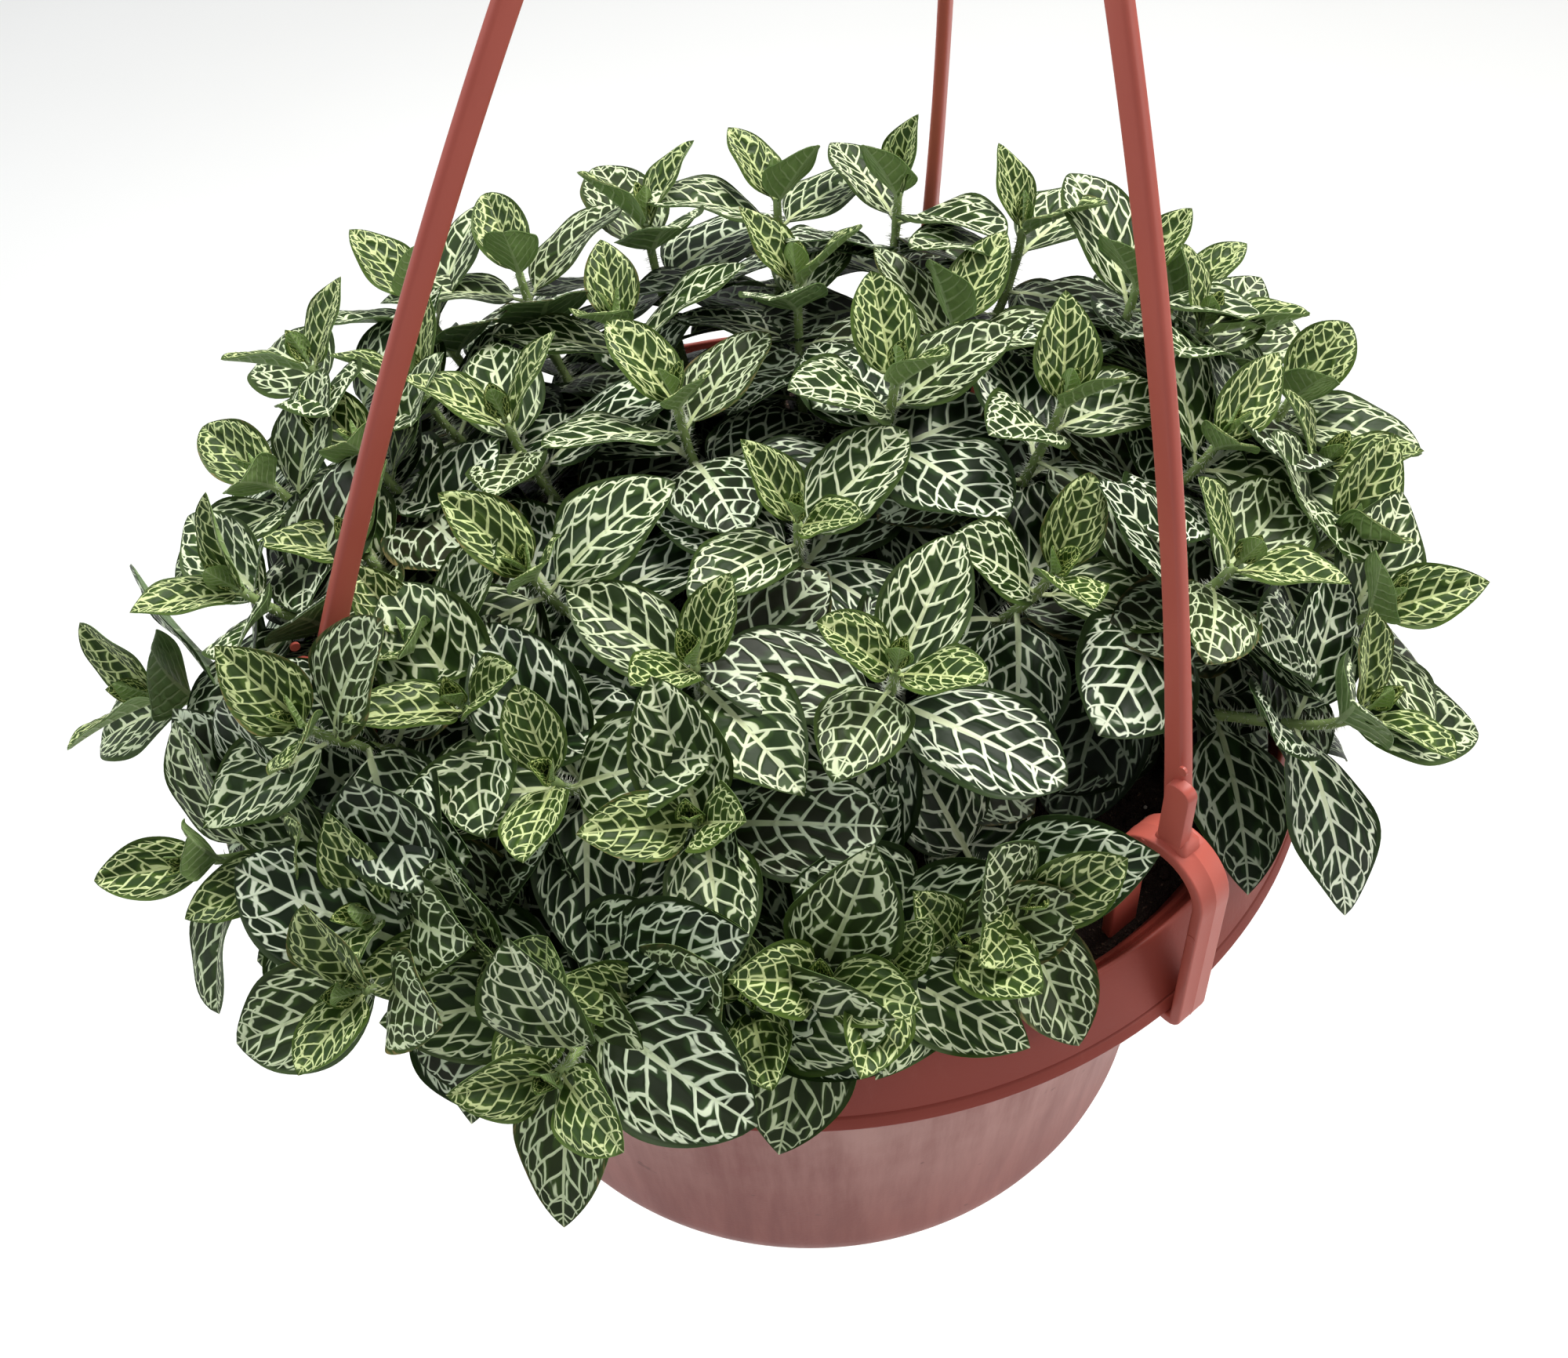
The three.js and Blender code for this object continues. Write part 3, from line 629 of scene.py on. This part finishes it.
def leaf_lift(key, length, fold, across, row, profile, uu, vv):
    """How far each point rises from the flat leaf: its fold, the pucker between veins and the ruffle."""
    aside = np.abs(vv)
    rib_lift = np.tan(fold) * across * (1 - 0.45 * aside)
    pucker = PUCKER * (0.5 - 0.5 * np.cos(2 * math.pi * (row - 0.9))) * (1 - vv ** 4) * (aside > 0.01)
    phase = 2 * math.pi * (RUFFLE_WAVES * uu + 0.3 * np.sign(vv)) + 3 * chance(key, 16)
    wave = RUFFLE * length * aside ** 3 * np.sin(phase)
    return rib_lift + pucker * profile[:, None] + 0.5 * wave * profile[:, None]


def thin_sheet(middle, normal, thick):
    """A closed sheet about a grid of points: the points above it, then those below."""
    rows, columns = middle.shape[:2]
    du, dv = np.gradient(middle, axis=0), np.gradient(middle, axis=1)
    facing = np.cross(du, dv)
    facing /= np.maximum(np.linalg.norm(facing, axis=2, keepdims=True), 1e-9)
    if (facing * normal[:, None, :]).sum() < 0:
        facing = -facing
    lift = facing * thick[:, :, None]
    points = np.concatenate([middle + lift, middle - lift]).reshape(-1, 3)
    count = rows * columns
    clockwise = np.dot(np.cross(du[rows // 2, 1], dv[rows // 2, 1]), normal[rows // 2]) < 0
    faces = grid_faces(rows, columns, 0, clockwise) + grid_faces(rows, columns, count, not clockwise)
    rim = [i * columns for i in range(rows)] + [(rows - 1) * columns + j for j in range(1, columns)]
    rim += [i * columns + columns - 1 for i in range(rows - 2, -1, -1)] + list(range(columns - 2, 0, -1))
    for a, b in zip(rim, rim[1:] + rim[:1]):
        quad = (a, b, b + count, a + count)
        faces.append(quad[::-1] if not clockwise else quad)
    return points, faces


def leaf_mesh(place):
    """Points, faces and shading coordinates of one leaf: a folded, puckered blade on a petiole."""
    key, length = place["key"], place["length"]
    u = np.linspace(0, 1, LEAF_ROWS) ** 0.9
    v = np.linspace(-1, 1, 2 * LEAF_HALF_COLUMNS + 1)
    blade = np.clip((u - PETIOLE) / (1 - PETIOLE), 0, 1)
    half, profile = leaf_widths(key, length, blade)
    centre, normal, side = leaf_spine(place, u)
    uu, vv = np.meshgrid(u, v, indexing="ij")
    aside = np.abs(vv)
    across = aside * half[:, None]
    fold = math.radians(varied(FOLD, key, 15)) + YOUNG_FOLD * max(place["youth"], 0.0)
    upturn = 0.85 * across / length + 0.5 * (across / length) * aside ** 3
    row = (blade[:, None] - upturn) * SECONDARY_VEINS
    lift = leaf_lift(key, length, fold, across, row, profile, uu, vv)
    middle = (centre[:, None, :] + side[None, None, :] * (vv * half[:, None] * math.cos(fold))[:, :, None]
              + normal[:, None, :] * lift[:, :, None])
    thick = BLADE_THICKNESS + PETIOLE_THICKNESS * np.exp(-12 * u)[:, None] * (1 - 0.6 * aside)
    thick = thick * (1 - 0.55 * aside ** 6)
    points, faces = thin_sheet(middle, normal, thick)
    return points, faces, leaf_shading(place, row, across / half.max(), across / length, blade, uu, vv)


def leaf_shading(place, row, share, across, blade, uu, vv):
    """What the leaf's material is drawn from, for the top and then the underside."""
    key = place["key"]
    edge = np.minimum(1 - np.abs(vv), (1 - blade)[:, None] * 2.2)
    seed = math.floor(SEED_SPREAD * chance(key, 17))
    sideways = np.sign(vv) * share ** NET_CROWDING * NET_CELLS
    net = np.stack([row + seed, sideways, np.full_like(row, seed + 0.5)], axis=2).reshape(-1, 3)
    blade_xyz = np.stack([across * 40, edge, uu], axis=2).reshape(-1, 3)
    tone = 0.5 + 0.5 * chance(key, 18)
    kinds = [np.tile([flag, place["youth"], tone], (len(net), 1)) for flag in (1.0, 0.0)]
    return {"net": np.concatenate([net, net]), "blade": np.concatenate([blade_xyz, blade_xyz]),
            "kind": np.concatenate(kinds)}


def merged(parts):
    """Several (points, faces, shading) meshes as one."""
    faces, offset = [], 0
    for points, part_faces, _ in parts:
        faces += [tuple(i + offset for i in face) for face in part_faces]
        offset += len(points)
    shading = {key: np.concatenate([part[2][key] for part in parts]) for key in parts[0][2]}
    return np.concatenate([part[0] for part in parts]), faces, shading


def stem_rings(controls, span):
    """A stem's rings: centre, two directions across, radius and the way it grows."""
    joints = [1 - pair["below"] / span for pair in PAIRS[1:] if span >= pair["below"] + LOWEST_JOINT]
    first = np.array([1.0, 0, 0])
    rings = []
    for i in range(STEM_RINGS):
        t = i / (STEM_RINGS - 1)
        centre, axis = on_curve(controls, t)
        first = unit(first - axis * first.dot(axis))
        swell = sum(math.exp(-((t - joint) * span / JOINT_REACH) ** 2) for joint in joints)
        radius = STEM_RADIUS * (1.05 - STEM_TAPER * t) * (1 + JOINT_SWELL * swell)
        rings.append((centre, first, np.cross(axis, first), radius, axis))
    return rings


def hair_points(rings, seed):
    """One fine hair: three points at its root on the stem, and its tip."""
    place = (0.5 + 0.5 * chance(seed, 21)) * (STEM_RINGS - 1.001)
    centre, first, second, radius, axis = rings[int(place)]
    following = rings[int(place) + 1][0]
    centre = centre + (following - centre) * (place % 1)
    angle = math.pi * chance(seed, 22)
    out = turned(first, second, angle)
    sideways = np.cross(axis, out)
    root = centre + out * radius * 0.9
    tip = root + out * varied(HAIR_LENGTH, seed, 23)
    tip = tip + axis * 0.5 * chance(seed, 24) + sideways * 0.4 * chance(seed, 25)
    return [root + sideways * HAIR_WIDTH, root - sideways * HAIR_WIDTH * 0.5 + axis * HAIR_WIDTH,
            root - sideways * HAIR_WIDTH * 0.5 - axis * HAIR_WIDTH, tip]


def stem_mesh(shoot, index):
    """A round stem, thicker at its leaf joints, with a coat of fine hairs."""
    controls = stem_controls(shoot, index)
    span = np.linalg.norm(controls[3] - controls[0])
    rings = stem_rings(controls, span)
    points, kinds = [], []
    for number, (centre, first, second, radius, _) in enumerate(rings):
        for j in range(STEM_SIDES):
            angle = 2 * math.pi * j / STEM_SIDES
            points.append(centre + radius * turned(first, second, angle))
            kinds.append((0.0, number / (STEM_RINGS - 1), 0.0))
    faces = bar_faces(STEM_RINGS, STEM_SIDES)
    for k in range(int(HAIRS_PER_MM * span)):
        base = len(points)
        points += hair_points(rings, index * SEEDS_PER_STEM + k)
        kinds += [(1.0, 1.0, 0.0)] * 4
        faces += [tuple(base + corner for corner in face) for face in HAIR_FACES]
    return np.array(points), faces, {"kind": np.array(kinds)}


def build_piece(name, part, material, node):
    """A piece of foliage, with what its material reads at each point."""
    piece = mesh_object(name, *part[:2], material, "foliage", node)
    for key, values in part[2].items():
        layer = piece.data.attributes.new(key, "FLOAT_VECTOR", "POINT")
        layer.data.foreach_set("vector", np.asarray(values, dtype=np.float32).ravel())


def build_shoots():
    leaf, stem = leaf_material(), stem_material()
    for index, shoot in enumerate(shoot_places()):
        name = f"shoot_{index + 1:02d}"
        build_piece(f"{name}_stem", stem_mesh(shoot, index), stem, name)
        places = leaf_places(shoot, index)
        young = [free_leaf(place) for place in places if place["level"] < FIRST_FULL_PAIR]
        build_piece(f"{name}_young_leaves", merged(young), leaf, name)
        full = [place for place in places if FIRST_FULL_PAIR <= place["level"] < LOW_PAIRS]
        for number, place in enumerate(full, 1):
            build_piece(f"{name}_leaf_{number}", free_leaf(place), leaf, name)
        lowest = [free_leaf(place) for place in places if place["level"] >= LOW_PAIRS]
        if lowest:
            build_piece(f"{name}_low_leaves", merged(lowest), leaf, name)


# -------- pot

def on_circle(x, y, radius, degrees):
    angle = math.radians(degrees)
    return x + radius * math.cos(angle), y + radius * math.sin(angle)


def arc(x, y, radius, start, end, steps):
    return [on_circle(x, y, radius, start + (end - start) * i / steps) for i in range(steps + 1)]


def skirt_radius(z):
    return LIP_RADIUS + (RIM_RADIUS - LIP_RADIUS) * (z - LIP_HEIGHT) / (POT_HEIGHT - LIP_HEIGHT)


def groove_outline():
    """The skirt's outside above its lip: a fine groove, then straight up to the rim."""
    groove = LIP_HEIGHT + GROOVE_ABOVE_LIP
    steps = [(0.1, 0.0), (-0.1, 0.2), (-GROOVE_DEPTH, 0.45), (-GROOVE_DEPTH, 0.75)]
    outline = [(skirt_radius(groove) + out, groove + rise) for out, rise in steps]
    outline += [(skirt_radius(groove + 1.0), groove + 1.05), (skirt_radius(groove + 1.4), groove + 1.4)]
    return outline + [(skirt_radius(z), z) for z in np.linspace(groove + 4, POT_HEIGHT - 1.2, 5)]


def pot_outline():
    """The bowl's section: outside from the foot up to the collar and over the rim, then the inside."""
    corner_r = BASE_RADIUS - BASE_CORNER
    outline = [(0, FOOT_RECESS), (corner_r - 22, FOOT_RECESS), (corner_r - 20, 0.4), (corner_r - 19, 0)]
    outline += arc(corner_r, BASE_CORNER, BASE_CORNER, -90, 0, 12)
    outline += [(BASE_RADIUS + (NECK_RADIUS - BASE_RADIUS) * t,
                 BASE_CORNER + (LIP_HEIGHT - 2 - BASE_CORNER) * t) for t in (0.2, 0.4, 0.6, 0.8, 1.0)]
    outline += [(121.0, POT_HEIGHT - 5.5), (122.6, POT_HEIGHT - 4.0), (LIP_RADIUS - 2.4, LIP_HEIGHT + 0.4)]
    outline += arc(LIP_RADIUS - 1.3, LIP_HEIGHT + 0.9, 1.3, -150, 0, 6)
    outline += groove_outline()
    outline += arc(RIM_RADIUS - 0.7, POT_HEIGHT - 0.75, 0.75, 20, 170, 6)
    inner = NECK_RADIUS - WALL
    outline += [(RIM_RADIUS - 1.7, POT_HEIGHT - 1.6), (inner + 0.5, LIP_HEIGHT + 1.8),
                (inner, LIP_HEIGHT + 0.4), (BASE_RADIUS - WALL, BASE_CORNER)]
    outline += arc(corner_r, BASE_CORNER, BASE_CORNER - WALL, 0, -90, 8)
    return outline + [(0, WALL)]


def turned_mesh(outline, sides):
    """A solid of revolution whose outline starts and ends on the axis."""
    points = [point for r, z in outline[1:-1] for point in ring(r, z, sides)]
    rings = len(outline) - 2
    low, high, last = len(points), len(points) + 1, (rings - 1) * sides
    points += [(0, 0, outline[0][1]), (0, 0, outline[-1][1])]
    faces = grid_faces(rings, sides, wrap=True)
    faces += [(low, (j + 1) % sides, j) for j in range(sides)]
    faces += [(high, last + j, last + (j + 1) % sides) for j in range(sides)]
    return points, faces


def pot_material():
    """Terracotta-coloured plastic: a satin collar, and a bowl dulled by a chalky bloom with run marks, with
    a painted shadow of the collar across the bowl's top.
    """
    n = Nodes("terracotta_pot_plastic")
    place = n.position()
    x, y, z = n.split(place)
    angle = n.math("ARCTAN2", y, x)
    streaks = n.noise(n.join(n.times(angle, 8.0), n.times(z, 9.0), 0.0), 1.6, 5.0, 0.62)
    clouds = n.noise(place, 14.0, 4.0, 0.6)
    fine = n.noise(place, 900.0, 2.0)
    bowl_top = (LIP_HEIGHT - 6) * MM
    below = n.fall(z, bowl_top - 0.004, bowl_top)
    scuffs = n.ramp(n.noise(n.join(angle, n.times(z, 3.0), 0.0), 7.0, 6.0, 0.7), 0.55, 0.72)
    collar = n.mix(n.times(scuffs, 0.2), n.mix(clouds, *COLLAR), COLLAR_SCUFF)
    bowl = n.mix(n.ramp(streaks, 0.35, 0.7), *BOWL)
    colour = n.mix(below, collar, bowl)
    bloom = n.times(n.ramp(n.plus(clouds, n.times(streaks, 0.45)), 0.5, 0.95), below)
    height_share = n.ramp(z, 0.02, 0.1, 0.2, 1.0)
    colour = n.mix(n.times(n.times(bloom, height_share), 0.7), colour, BOWL_BLOOM)
    # Painted shadow of the collar: a darker band over the top of the bowl, just under the collar.
    band = n.times(n.ramp(z, bowl_top - 0.018, bowl_top - 0.017), below)
    colour = n.mix(n.times(band, 0.35), colour, BOWL_COLLAR_SHADOW)
    flecks = n.times(n.ramp(n.noise(place, 190.0, 2.0), 0.7, 0.76), below)
    colour = n.mix(n.times(flecks, 0.5), colour, BOWL_FLECK)
    n.set(Base_Color=colour, Roughness=n.ramp(clouds, 0.3, 0.7, 0.42, 0.58), Specular_IOR_Level=0.3)
    n.bump(n.plus(fine, n.times(clouds, 2.0)), 0.08, 0.0006)
    return n.material


def build_pot():
    bowl = mesh_object("pot_bowl", *turned_mesh(pot_outline(), 192), pot_material(), "pot_plastic", "pot")
    with_sharp_edges(bowl, 32)


def with_sharp_edges(piece, degrees):
    """Smooth shading that breaks where faces meet at more than the angle."""
    mesh = bmesh.new()
    mesh.from_mesh(piece.data)
    limit = math.radians(degrees)
    for edge in mesh.edges:
        edge.smooth = len(edge.link_faces) == 2 and edge.calc_face_angle(0.0) < limit
    mesh.to_mesh(piece.data)
    mesh.free()


# -------- soil

def soil_material():
    n = Nodes("potting_soil")
    place = n.position()
    coarse = n.noise(place, 160.0, 5.0, 0.65)
    fine = n.noise(place, 900.0, 3.0)
    colour = n.mix(n.ramp(fine, 0.62, 0.72), n.mix(coarse, *SOIL), SOIL_SPECK)
    n.set(Base_Color=colour, Roughness=0.95, Specular_IOR_Level=0.2)
    n.bump(n.plus(coarse, fine), 0.9, 0.002)
    return n.material


def perlite_material():
    n = Nodes("perlite")
    grain = n.noise(n.position(), 1200.0, 3.0)
    n.set(Base_Color=n.mix(grain, *PERLITE), Roughness=0.9)
    n.bump(grain, 0.6, 0.0006)
    return n.material


def soil_surface(reach, angle):
    """The soil's uneven height, calmer towards the pot's wall."""
    place = Vector((reach * math.cos(angle), reach * math.sin(angle), 0)) * 0.045
    rough = noise.fractal(place, 1.0, 2.1, 4) * SOIL_ROUGHNESS
    return soil_height(reach) + rough * min(1.0, max(0.2, (SOIL_EDGE_RADIUS - reach) / 10))


def build_soil():
    sides, rings = SOIL_SIDES, SOIL_RINGS
    points = [(0, 0, soil_surface(0, 0))]
    for i in range(1, rings + 1):
        reach = (SOIL_EDGE_RADIUS + SOIL_LAP) * i / rings
        points += [(x, y, soil_surface(reach, 2 * math.pi * j / sides))
                   for j, (x, y, _) in enumerate(ring(reach, 0, sides))]
    for r, z in SOIL_BODY:
        points += ring(r, z, sides)
    faces = [(0, 1 + j, 1 + (j + 1) % sides) for j in range(sides)]
    faces += grid_faces(rings + len(SOIL_BODY), sides, 1, True, True)
    floor, bottom = len(points), len(points) - sides
    points.append((0, 0, SOIL_BODY[-1][1]))
    faces += [(floor, bottom + (j + 1) % sides, bottom + j) for j in range(sides)]
    ground = mesh_object("soil_ground", points, faces, soil_material(), "soil", "soil")
    mesh_object("soil_crumbs", *scatter(*CRUMBS), ground.data.materials[0], "soil", "soil")
    mesh_object("soil_perlite", *scatter(*PERLITE_GRAINS), perlite_material(), "soil", "soil")


def scatter(count, small, large, salt):
    """Lumpy grains lying on the soil, mostly nearer the small size than the large."""
    ball = bmesh.new()
    bmesh.ops.create_icosphere(ball, subdivisions=1, radius=1.0)
    shape = np.array([v.co[:] for v in ball.verts])
    triangles = [tuple(v.index for v in f.verts) for f in ball.faces]
    ball.free()
    points, faces = [], []
    for k in range(count):
        reach = 115 * math.sqrt(0.5 + 0.5 * chance(k, salt))
        angle = math.pi * chance(k, salt + 1)
        size = small + (large - small) * (0.5 + 0.5 * chance(k, salt + 2)) ** 2
        stretch = np.array([1 + 0.4 * chance(k, salt + 3), 1 + 0.4 * chance(k, salt + 4), 0.75])
        jag = np.array([1 + 0.25 * chance(k * 50 + i, salt + 5) for i in range(len(shape))])
        grain = shape * jag[:, None] * stretch * size
        centre = (reach * math.cos(angle), reach * math.sin(angle), soil_surface(reach, angle) + 0.3 * size)
        offset = len(points)
        points += (grain + centre).tolist()
        faces += [tuple(i + offset for i in face) for face in triangles]
    return points, faces


# -------- hanger

def hanger_material():
    n = Nodes("terracotta_hanger_plastic")
    clouds = n.noise(n.position(), 26.0, 3.0)
    n.set(Base_Color=n.mix(clouds, *HANGER), Roughness=n.ramp(clouds, 0.3, 0.7, 0.38, 0.48),
          Specular_IOR_Level=0.35)
    n.bump(n.noise(n.position(), 1100.0, 2.0), 0.06, 0.0003)
    return n.material


def rounded_section(depth, width, radius, steps=3, seam=0.0):
    """A rounded rectangle, with a seam of the given height along the middle of its outer side."""
    a, b = depth / 2 - radius, width / 2 - radius
    points = []
    for x, y, start in ((a, b, 0), (-a, b, 90), (-a, -b, 180), (a, -b, 270)):
        points += arc(x, y, radius, start, start + 90, steps)
    if seam:
        half = depth / 2
        points += [(half, -0.3), (half + seam, -0.1), (half + seam, 0.1), (half, 0.3)]
    return points


def swept(path, across, side, sections):
    """A closed bar through the path's points; across and side span each section."""
    points = [centre + way * a + side * b
              for centre, way, section in zip(path, across, sections) for a, b in section]
    return points, bar_faces(len(path), len(sections[0]))


def arm_strand(azimuth, bow):
    """The bowed strand of an arm, stouter at its foot and flared where it meets the fork."""
    out = heading(azimuth)
    controls = foot, middle, head = arm_controls(out, bow)
    side = np.cross(UP, out)
    path, across, sections = [], [], []
    for i in range(ARM_STEPS + 1):
        t = (i / ARM_STEPS) ** 1.6
        point = on_arm(controls, t)
        slope = unit(2 * (middle - foot) * (1 - t) + 2 * (head - middle) * t)
        flare = math.exp(-((point[2] - foot[2] + 0.6) / ARM_FLARE_RISE) ** 2)
        taper = max(0.0, 1 - ARM_TAPER_RATE * t)
        depth = ARM_DEPTH + (ARM_FOOT_DEPTH - ARM_DEPTH) * taper + ARM_FLARE[0] * flare
        width = ARM_WIDTH + (ARM_FOOT_WIDTH - ARM_WIDTH) * taper + ARM_FLARE[1] * flare
        path.append(point if i else point - slope * ARM_ROOT)
        across.append(unit(np.cross(side, slope)))
        sections.append(rounded_section(depth, width, ARM_CORNER))
    return swept(path, across, side, sections)


def fork_line():
    """The fork's middle line in the radial plane: reach, height and the way it runs in degrees."""
    line = [(CLIP_INNER_LEG, z, 90.0) for z in np.linspace(CLIP_INNER_END, CLIP_SPRING - 1, 6)]
    line += [(*on_circle(CLIP_MIDDLE, CLIP_SPRING, CLIP_ARCH, angle), angle - 90.0)
             for angle in range(180, -1, -10)]
    heel = LIP_HEIGHT - 0.2
    line += [(CLIP_OUTER_LEG, z, -90.0) for z in np.linspace(CLIP_SPRING - 1, heel, 8)]
    line += [(*on_circle(CLIP_OUTER_LEG - CLIP_TOE, heel, CLIP_TOE, angle), angle - 90.0)
             for angle in (-22.5, -45, -67.5, -90)]
    return line + [(CLIP_OUTER_LEG - CLIP_TOE - 1.8, heel - CLIP_TOE, 180.0)]


def clip_fork(azimuth):
    """The fork that straddles the rim, swept along its own outline in the radial plane."""
    out = heading(azimuth)
    path, across = [], []
    for r, z, way in fork_line():
        path.append(out * r + UP * z)
        across.append(turned(out, UP, math.radians(way + 90)))
    section = rounded_section(CLIP_THICKNESS, CLIP_WIDTH, CLIP_CORNER, 3, CLIP_SEAM)
    return swept(path, across, np.cross(UP, out), [section] * len(path))


def disc(centre, axis, radius, height, sides=20):
    """A low round stud with a rounded edge."""
    first = unit(np.cross(axis, np.array([0.3, 0.2, 1.0])))
    second = np.cross(axis, first)
    rings = ((radius, -0.6), (radius, height * 0.6), (radius - 0.25, height))
    points = [centre + axis * h + first * x + second * y for r, h in rings for x, y, _ in ring(r, 0, sides)]
    return points, bar_faces(len(rings), sides)


def pad_plate(azimuth):
    """The blank raised pad low on one side of the arm."""
    out = heading(azimuth)
    side = np.cross(UP, out)
    centre = out * (ARM_FOOT_RADIUS - PAD_INWARD) + UP * (ARM_FOOT_HEIGHT - 1 + PAD_HEIGHT / 2)
    profile = ((0.0, 0.0), (0.86, 0.0), (0.96, 0.15), (1.0, 0.5))
    path = [centre - side * PAD_STANDS_OUT * rise for rise, _ in profile]
    sections = [rounded_section(PAD_DEPTH - 2 * inset, PAD_HEIGHT - 2 * inset, PAD_CORNER - inset, 6)
                for _, inset in profile]
    return swept(path, [out] * len(path), UP, sections)


def closed_part(name, points, faces):
    """A loose closed mesh with its faces turned outwards."""
    mesh = metre_mesh(name, points, faces)
    shape = bmesh.new()
    shape.from_mesh(mesh)
    bmesh.ops.recalc_face_normals(shape, faces=shape.faces)
    shape.to_mesh(mesh)
    shape.free()
    return placed(name, mesh)


def united(name, meshes, material, node):
    """Overlapping closed meshes joined into one skin, in the place of the node."""
    parts = [closed_part(f"{name}_{number}", *mesh) for number, mesh in enumerate(meshes)]
    whole = parts[0]
    for part in parts[1:]:
        joining = whole.modifiers.new("join", "BOOLEAN")
        joining.operation, joining.solver, joining.object = "UNION", "EXACT", part
        joined = whole.evaluated_get(bpy.context.evaluated_depsgraph_get())
        result = bpy.data.meshes.new_from_object(joined)
        whole.modifiers.clear()
        whole.data = result
        bpy.data.objects.remove(part)
    whole.name = name
    whole.data.materials.clear()
    stand_in(whole, material, node)
    with_sharp_edges(whole, 40)


def moulding_studs(azimuth):
    """The small round marks that moulding leaves on one side of a clip and its arm."""
    out = heading(azimuth)
    side = np.cross(UP, out)
    marks = [(CLIP_OUTER_LEG, CLIP_SPRING - 9, CLIP_WIDTH / 2),
             (CLIP_MIDDLE - 0.45 * CLIP_ARCH, CLIP_SPRING + 0.89 * CLIP_ARCH, CLIP_WIDTH / 2),
             (ARM_FOOT_RADIUS - 0.6, ARM_FOOT_HEIGHT + 23.5, ARM_FOOT_WIDTH / 2 - 0.15)]
    return [disc(out * r + UP * z - side * half, -side, STUD_RADIUS, STUD_HEIGHT) for r, z, half in marks]


def hub_mesh():
    """The turned hub that the arms and the hook meet in."""
    floor, top = APEX[2] - HUB_BELOW_APEX, APEX[2] - HUB_BELOW_APEX + HUB_HEIGHT
    edge_r = HUB_RADIUS - HUB_EDGE
    outline = [(0, floor), (8.2, floor)] + arc(edge_r, floor + HUB_EDGE, HUB_EDGE, -90, 0, 5)
    outline += [(HUB_RADIUS, top - 7)] + arc(edge_r, top - 7, HUB_EDGE, 0, 50, 4)
    outline += [(5.4, top - 1.0), (4.4, top), (0, top)]
    points, faces = turned_mesh(outline, 64)
    return [point + APEX * (1, 1, 0) for point in points], faces


def hook_bar():
    """The hook's bar: straight up out of the hub, then round the throat, thinner at its tip."""
    hub_top = APEX[2] - HUB_BELOW_APEX + HUB_HEIGHT
    reach = HOOK_THROAT + HOOK_DEPTH / 2
    centre_z = hub_top + HOOK_NECK + HOOK_THROAT
    line = [(0, z, 90.0) for z in np.linspace(hub_top - 3, centre_z - reach - 6, 4)]
    for i in range(1, HOOK_STEPS + 1):
        angle = -90 + HOOK_SWEEP * i / HOOK_STEPS
        line.append((*on_circle(0, centre_z, reach, angle), angle + 90.0))
    path, across, sections = [], [], []
    for number, (x, z, way) in enumerate(line):
        path.append(np.array([APEX[0] + x, APEX[1], z]))
        across.append(turned(ACROSS, UP, math.radians(way - 90)))
        end = max(0.0, (number - len(line) + 4) / 4)
        sections.append(rounded_section(HOOK_DEPTH - 2.2 * end, HOOK_WIDTH - 1.5 * end, HOOK_CORNER, 4))
    return swept(path, across, AWAY, sections)


def build_hanger():
    material = hanger_material()
    for name, (azimuth, bow) in ARMS.items():
        meshes = [clip_fork(azimuth), arm_strand(azimuth, bow), pad_plate(azimuth)] + moulding_studs(azimuth)
        united(f"{name}_moulding", meshes, material, name)
    united("hook_moulding", [hub_mesh(), hook_bar()], material, "hook")


# -------- camera, floor and light

def build_camera():
    """The photographer's place: in front, well above the rim, tipped a little."""
    camera = bpy.data.cameras.new("camera")
    camera.lens, camera.sensor_width = LENS, SENSOR
    camera.clip_start, camera.clip_end = 0.01, 50.0
    viewer = placed("camera", camera)
    eye = POT_HEIGHT * UP + CAMERA_DISTANCE * turned(-AWAY, UP, math.radians(CAMERA_ELEVATION))
    ahead = Vector(POT_HEIGHT * UP + CAMERA_AIM - eye).normalized()
    turn = ahead.to_track_quat("-Z", "Y").to_matrix()
    viewer.matrix_world = (Matrix.Translation(Vector(eye * MM)) @ turn.to_4x4()
                           @ Matrix.Rotation(math.radians(CAMERA_ROLL), 4, "Z"))
    bpy.context.scene.camera = viewer


def build_floor():
    """A wide pale floor, well below the hanging pot."""
    mesh = bpy.data.meshes.new("floor")
    corners = ((-1, -1), (1, -1), (1, 1), (-1, 1))
    points = [(FLOOR_REACH * x, FLOOR_REACH * y, FLOOR_HEIGHT) for x, y in corners]
    mesh.from_pydata(points, [], [(0, 1, 2, 3)])
    n = Nodes("pale_floor")
    n.set(Base_Color=n.mix(n.noise(n.position(), 3.0), *FLOOR), Roughness=0.8)
    mesh.materials.append(n.material)
    floor = placed("floor", mesh)


def build_light():
    world = bpy.data.worlds.new("studio")
    world.use_nodes = True
    background = world.node_tree.nodes["Background"]
    background.inputs["Color"].default_value = (*SKY_COLOUR, 1.0)
    background.inputs["Strength"].default_value = SKY_STRENGTH
    bpy.context.scene.world = world
    for name, (place, size, power, colour) in LIGHTS.items():
        light = bpy.data.lights.new(name, "AREA")
        light.size, light.energy, light.color = size, power, colour
        lamp = placed(name, light)
        lamp.location = place
        lamp.rotation_euler = (Vector(LIT_PLACE) - Vector(place)).to_track_quat("-Z", "Y").to_euler()
    bpy.context.scene.view_settings.view_transform = "Standard"


build_camera()
build_floor()
build_light()
build_pot()
build_soil()
build_hanger()
build_shoots()
